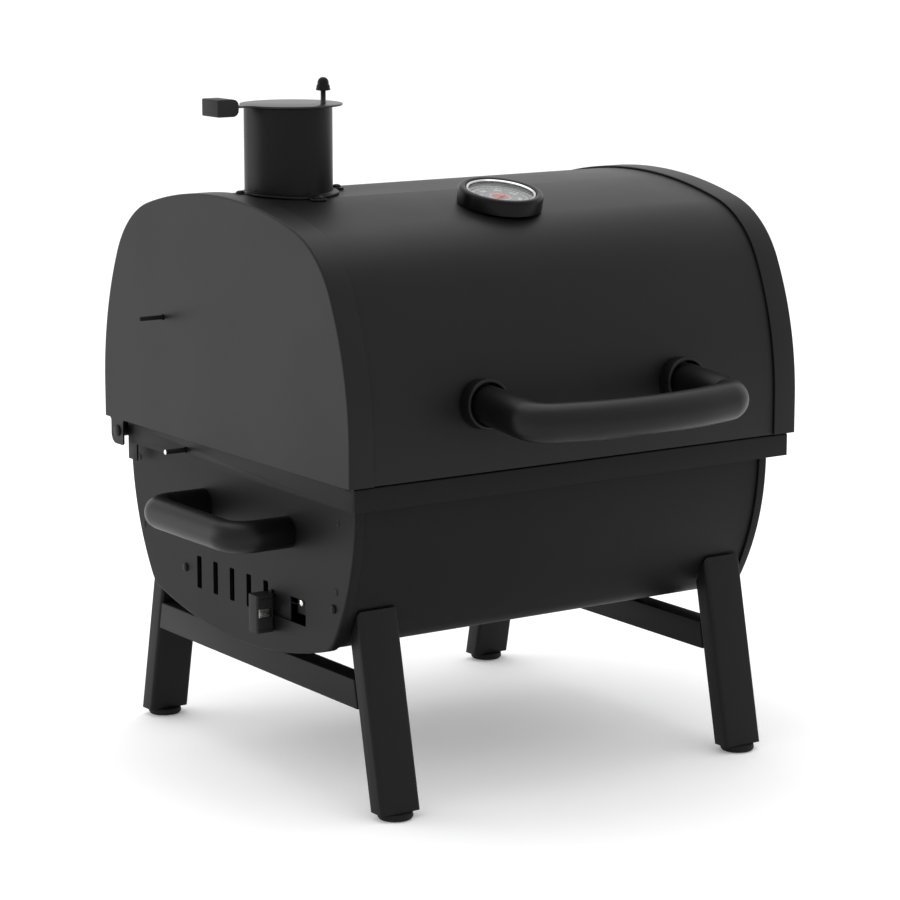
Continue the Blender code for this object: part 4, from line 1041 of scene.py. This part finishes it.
def buildFoot(name, x, y):
    low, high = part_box(f"foot_{name}")
    radius = (high.x - low.x) / 2
    pad = 0.0057  # height of the wide part
    outline = [(0, 0.0), (radius - 0.0032, 0.0), (radius - 0.0012, 0.0005), (radius - 0.0002, 0.0018)]
    outline += [(radius, 0.0030), (radius - 0.0004, pad - 0.0005), (radius - 0.001, pad), (0.005, pad)]
    outline += [(0.0048, high.z - 0.0008), (0.0040, high.z), (0, high.z)]
    piece(f"foot_glide_{name}", turned(outline, 56), footPlastic, "stand", [f"foot_{name}"], 35,
          0.0, Matrix.Translation((x, y, 0)))


buildStand()
print("stand built")


def wireGrid(low, high, r, barRadius, count, cross):
    # a round-cornered frame with welded bars, all inside the box from low to high
    z = (low.z + high.z) / 2
    left, right, front, back = low.x + r, high.x - r, low.y + r, high.y - r
    start = ((left + right) / 2, front)
    loop = [start, (right, front), (right, back), (left, back), (left, front), start]
    bm = addRod(bmesh.new(), bend([(x, y, z) for x, y in loop], 0.010, 8), r, 14)
    span = high.y - low.y - 2 * r
    for i in range(1, count + 1):
        y = low.y + r + span * i / (count + 1)
        addRod(bm, [(left, y, z), (right, y, z)], barRadius, 12)
    for share in cross:
        x = low.x + (high.x - low.x) * share
        addRod(bm, [(x, front, z - barRadius * 0.2), (x, back, z - barRadius * 0.2)], r, 12)
    return bm


def buildGrates():
    # bar radius, number of bars, places of the cross wires
    grates = {"cooking": (0.0020, 24, (0.25, 0.5, 0.75)), "charcoal": (0.0024, 12, (0.3, 0.7))}
    for name, grid in grates.items():
        bm = wireGrid(*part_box(f"{name}_grate"), 0.0025, *grid)
        piece(f"{name}_wires", bm, enamel, f"{name}_grate", [f"{name}_grate"], 60)
    for row in ("front", "back"):
        for part in ("grate_rail", "charcoal_rest"):
            boxPiece(f"{part}_strip_{row}", f"{part}_{row}", insideCoat, "stand", 0.0004)


def buildRack():
    rack = {"halfX": 0.182, "pin": 0.0018, "wire": 0.0020, "legX": 0.1925, "legBend": 0.005}
    low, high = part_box("warming_rack")
    halfX = rack["halfX"]
    bm = wireGrid(Vector((-halfX, low.y, low.z)), Vector((halfX, high.y, high.z)), rack["wire"], 0.0015, 11,
                  (0.33, 0.67))
    piece("rack_wires", bm, zincSteel, "rack", ["warming_rack"], 60)
    top = swingAt + (rackAt - hingeAt)
    # the cut end of a swing wire shows bare metal
    tip = [(0, -0.0010), (0.0018, -0.0010), (0.0021, -0.0006), (0.0021, 0.0002), (0.0016, 0.0006), (0, 0.0008)]
    for side, sign in bothEnds:
        ends = [(sign * (halfX - 0.002), rackAt.y, rackAt.z), (sign * high.x, rackAt.y, rackAt.z)]
        pin = rod(ends, rack["pin"], 24, 0.0005)
        piece(f"rack_pin_{side}", pin, wireCoat, "rack", (), 60)
    for side, sign in bothEnds:
        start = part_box(f"swing_leg_{side}")[0 if sign < 0 else 1].x
        run = sign * rack["legX"]
        corners = [(start, swingAt.y, swingAt.z), (run, swingAt.y, swingAt.z), (run, top.y, top.z)]
        corners.append((sign * (halfX + 0.002), top.y, top.z))
        wire = rod(bend(corners, rack["legBend"], 8), rack["wire"], 20, 0.0006)
        piece(f"swing_wire_{side}", wire, wireCoat, "rack_legs", [f"swing_leg_{side}"], 60)
        place = Matrix.Translation((start, swingAt.y, swingAt.z)) @ Matrix.Rotation(sign * math.pi / 2, 4, "Y")
        piece(f"swing_tip_{side}", turned(tip, 32), brightSteel, "rack_legs", (), 40, 0.0, place)


buildGrates()
buildRack()
print("grates and rack built")


def buildStudio():
    studio = {"floor": 0.95, "sky": 1.0, "glow": 0.14, "halfSize": 40, "drop": 0.0002}
    bm = bmesh.new()
    bmesh.ops.create_grid(bm, x_segments=1, y_segments=1, size=studio["halfSize"])
    floor = meshObject("floor", bm)
    floor.location.z = -studio["drop"]
    finish = Finish("floor_paper", Specular_IOR_Level=0.1, Roughness=0.9, Emission_Color=(1, 1, 1, 1),
                    Emission_Strength=studio["glow"])
    tone = studio["floor"]
    cloud = finish.noise(finish.place(), 0.8, 2.0)
    finish.feed("Base Color", finish.mix(cloud, (tone,) * 3, (tone + 0.02,) * 3))
    floor.data.materials.append(finish.material)
    world = bpy.data.worlds.new("studio")
    world.use_nodes = True
    sky = world.node_tree.nodes["Background"]
    sky.inputs["Color"].default_value = (1, 1, 1, 1)
    sky.inputs["Strength"].default_value = studio["sky"]
    bpy.context.scene.world = world
    bpy.context.scene.view_settings.view_transform = "Standard"


def softbox(name, spot, target, size, power):
    light = bpy.data.lights.new(name, "AREA")
    light.shape = "RECTANGLE"
    light.size, light.size_y = size
    light.energy = power
    obj = bpy.data.objects.new(name, light)
    obj.location = spot
    obj.rotation_euler = (Vector(target) - Vector(spot)).to_track_quat("-Z", "Y").to_euler()
    bpy.context.collection.objects.link(obj)


def buildCamera():
    view = {"spot": (-1.4271, barrelY - 2.1245, 0.7276), "pitch": 10.73583, "yaw": 33.98735, "lens": 124.70}
    data = bpy.data.cameras.new("camera")
    data.lens = view["lens"]
    data.sensor_width = 36
    data.clip_end = 200
    camera = bpy.data.objects.new("camera", data)
    camera.location = view["spot"]
    camera.rotation_euler = (math.radians(90 - view["pitch"]), 0, math.radians(-view["yaw"]))
    bpy.context.collection.objects.link(camera)
    bpy.context.scene.camera = camera


buildStudio()
softbox("top_softbox", (0.1, 0.6, 2.6), (0, 0, 0.2), (2.6, 2.2), 22)
softbox("left_softbox", (-2.0, 1.6, 0.7), (-0.2, 0, 0.2), (1.6, 1.6), 12)
buildCamera()
print("studio ready")
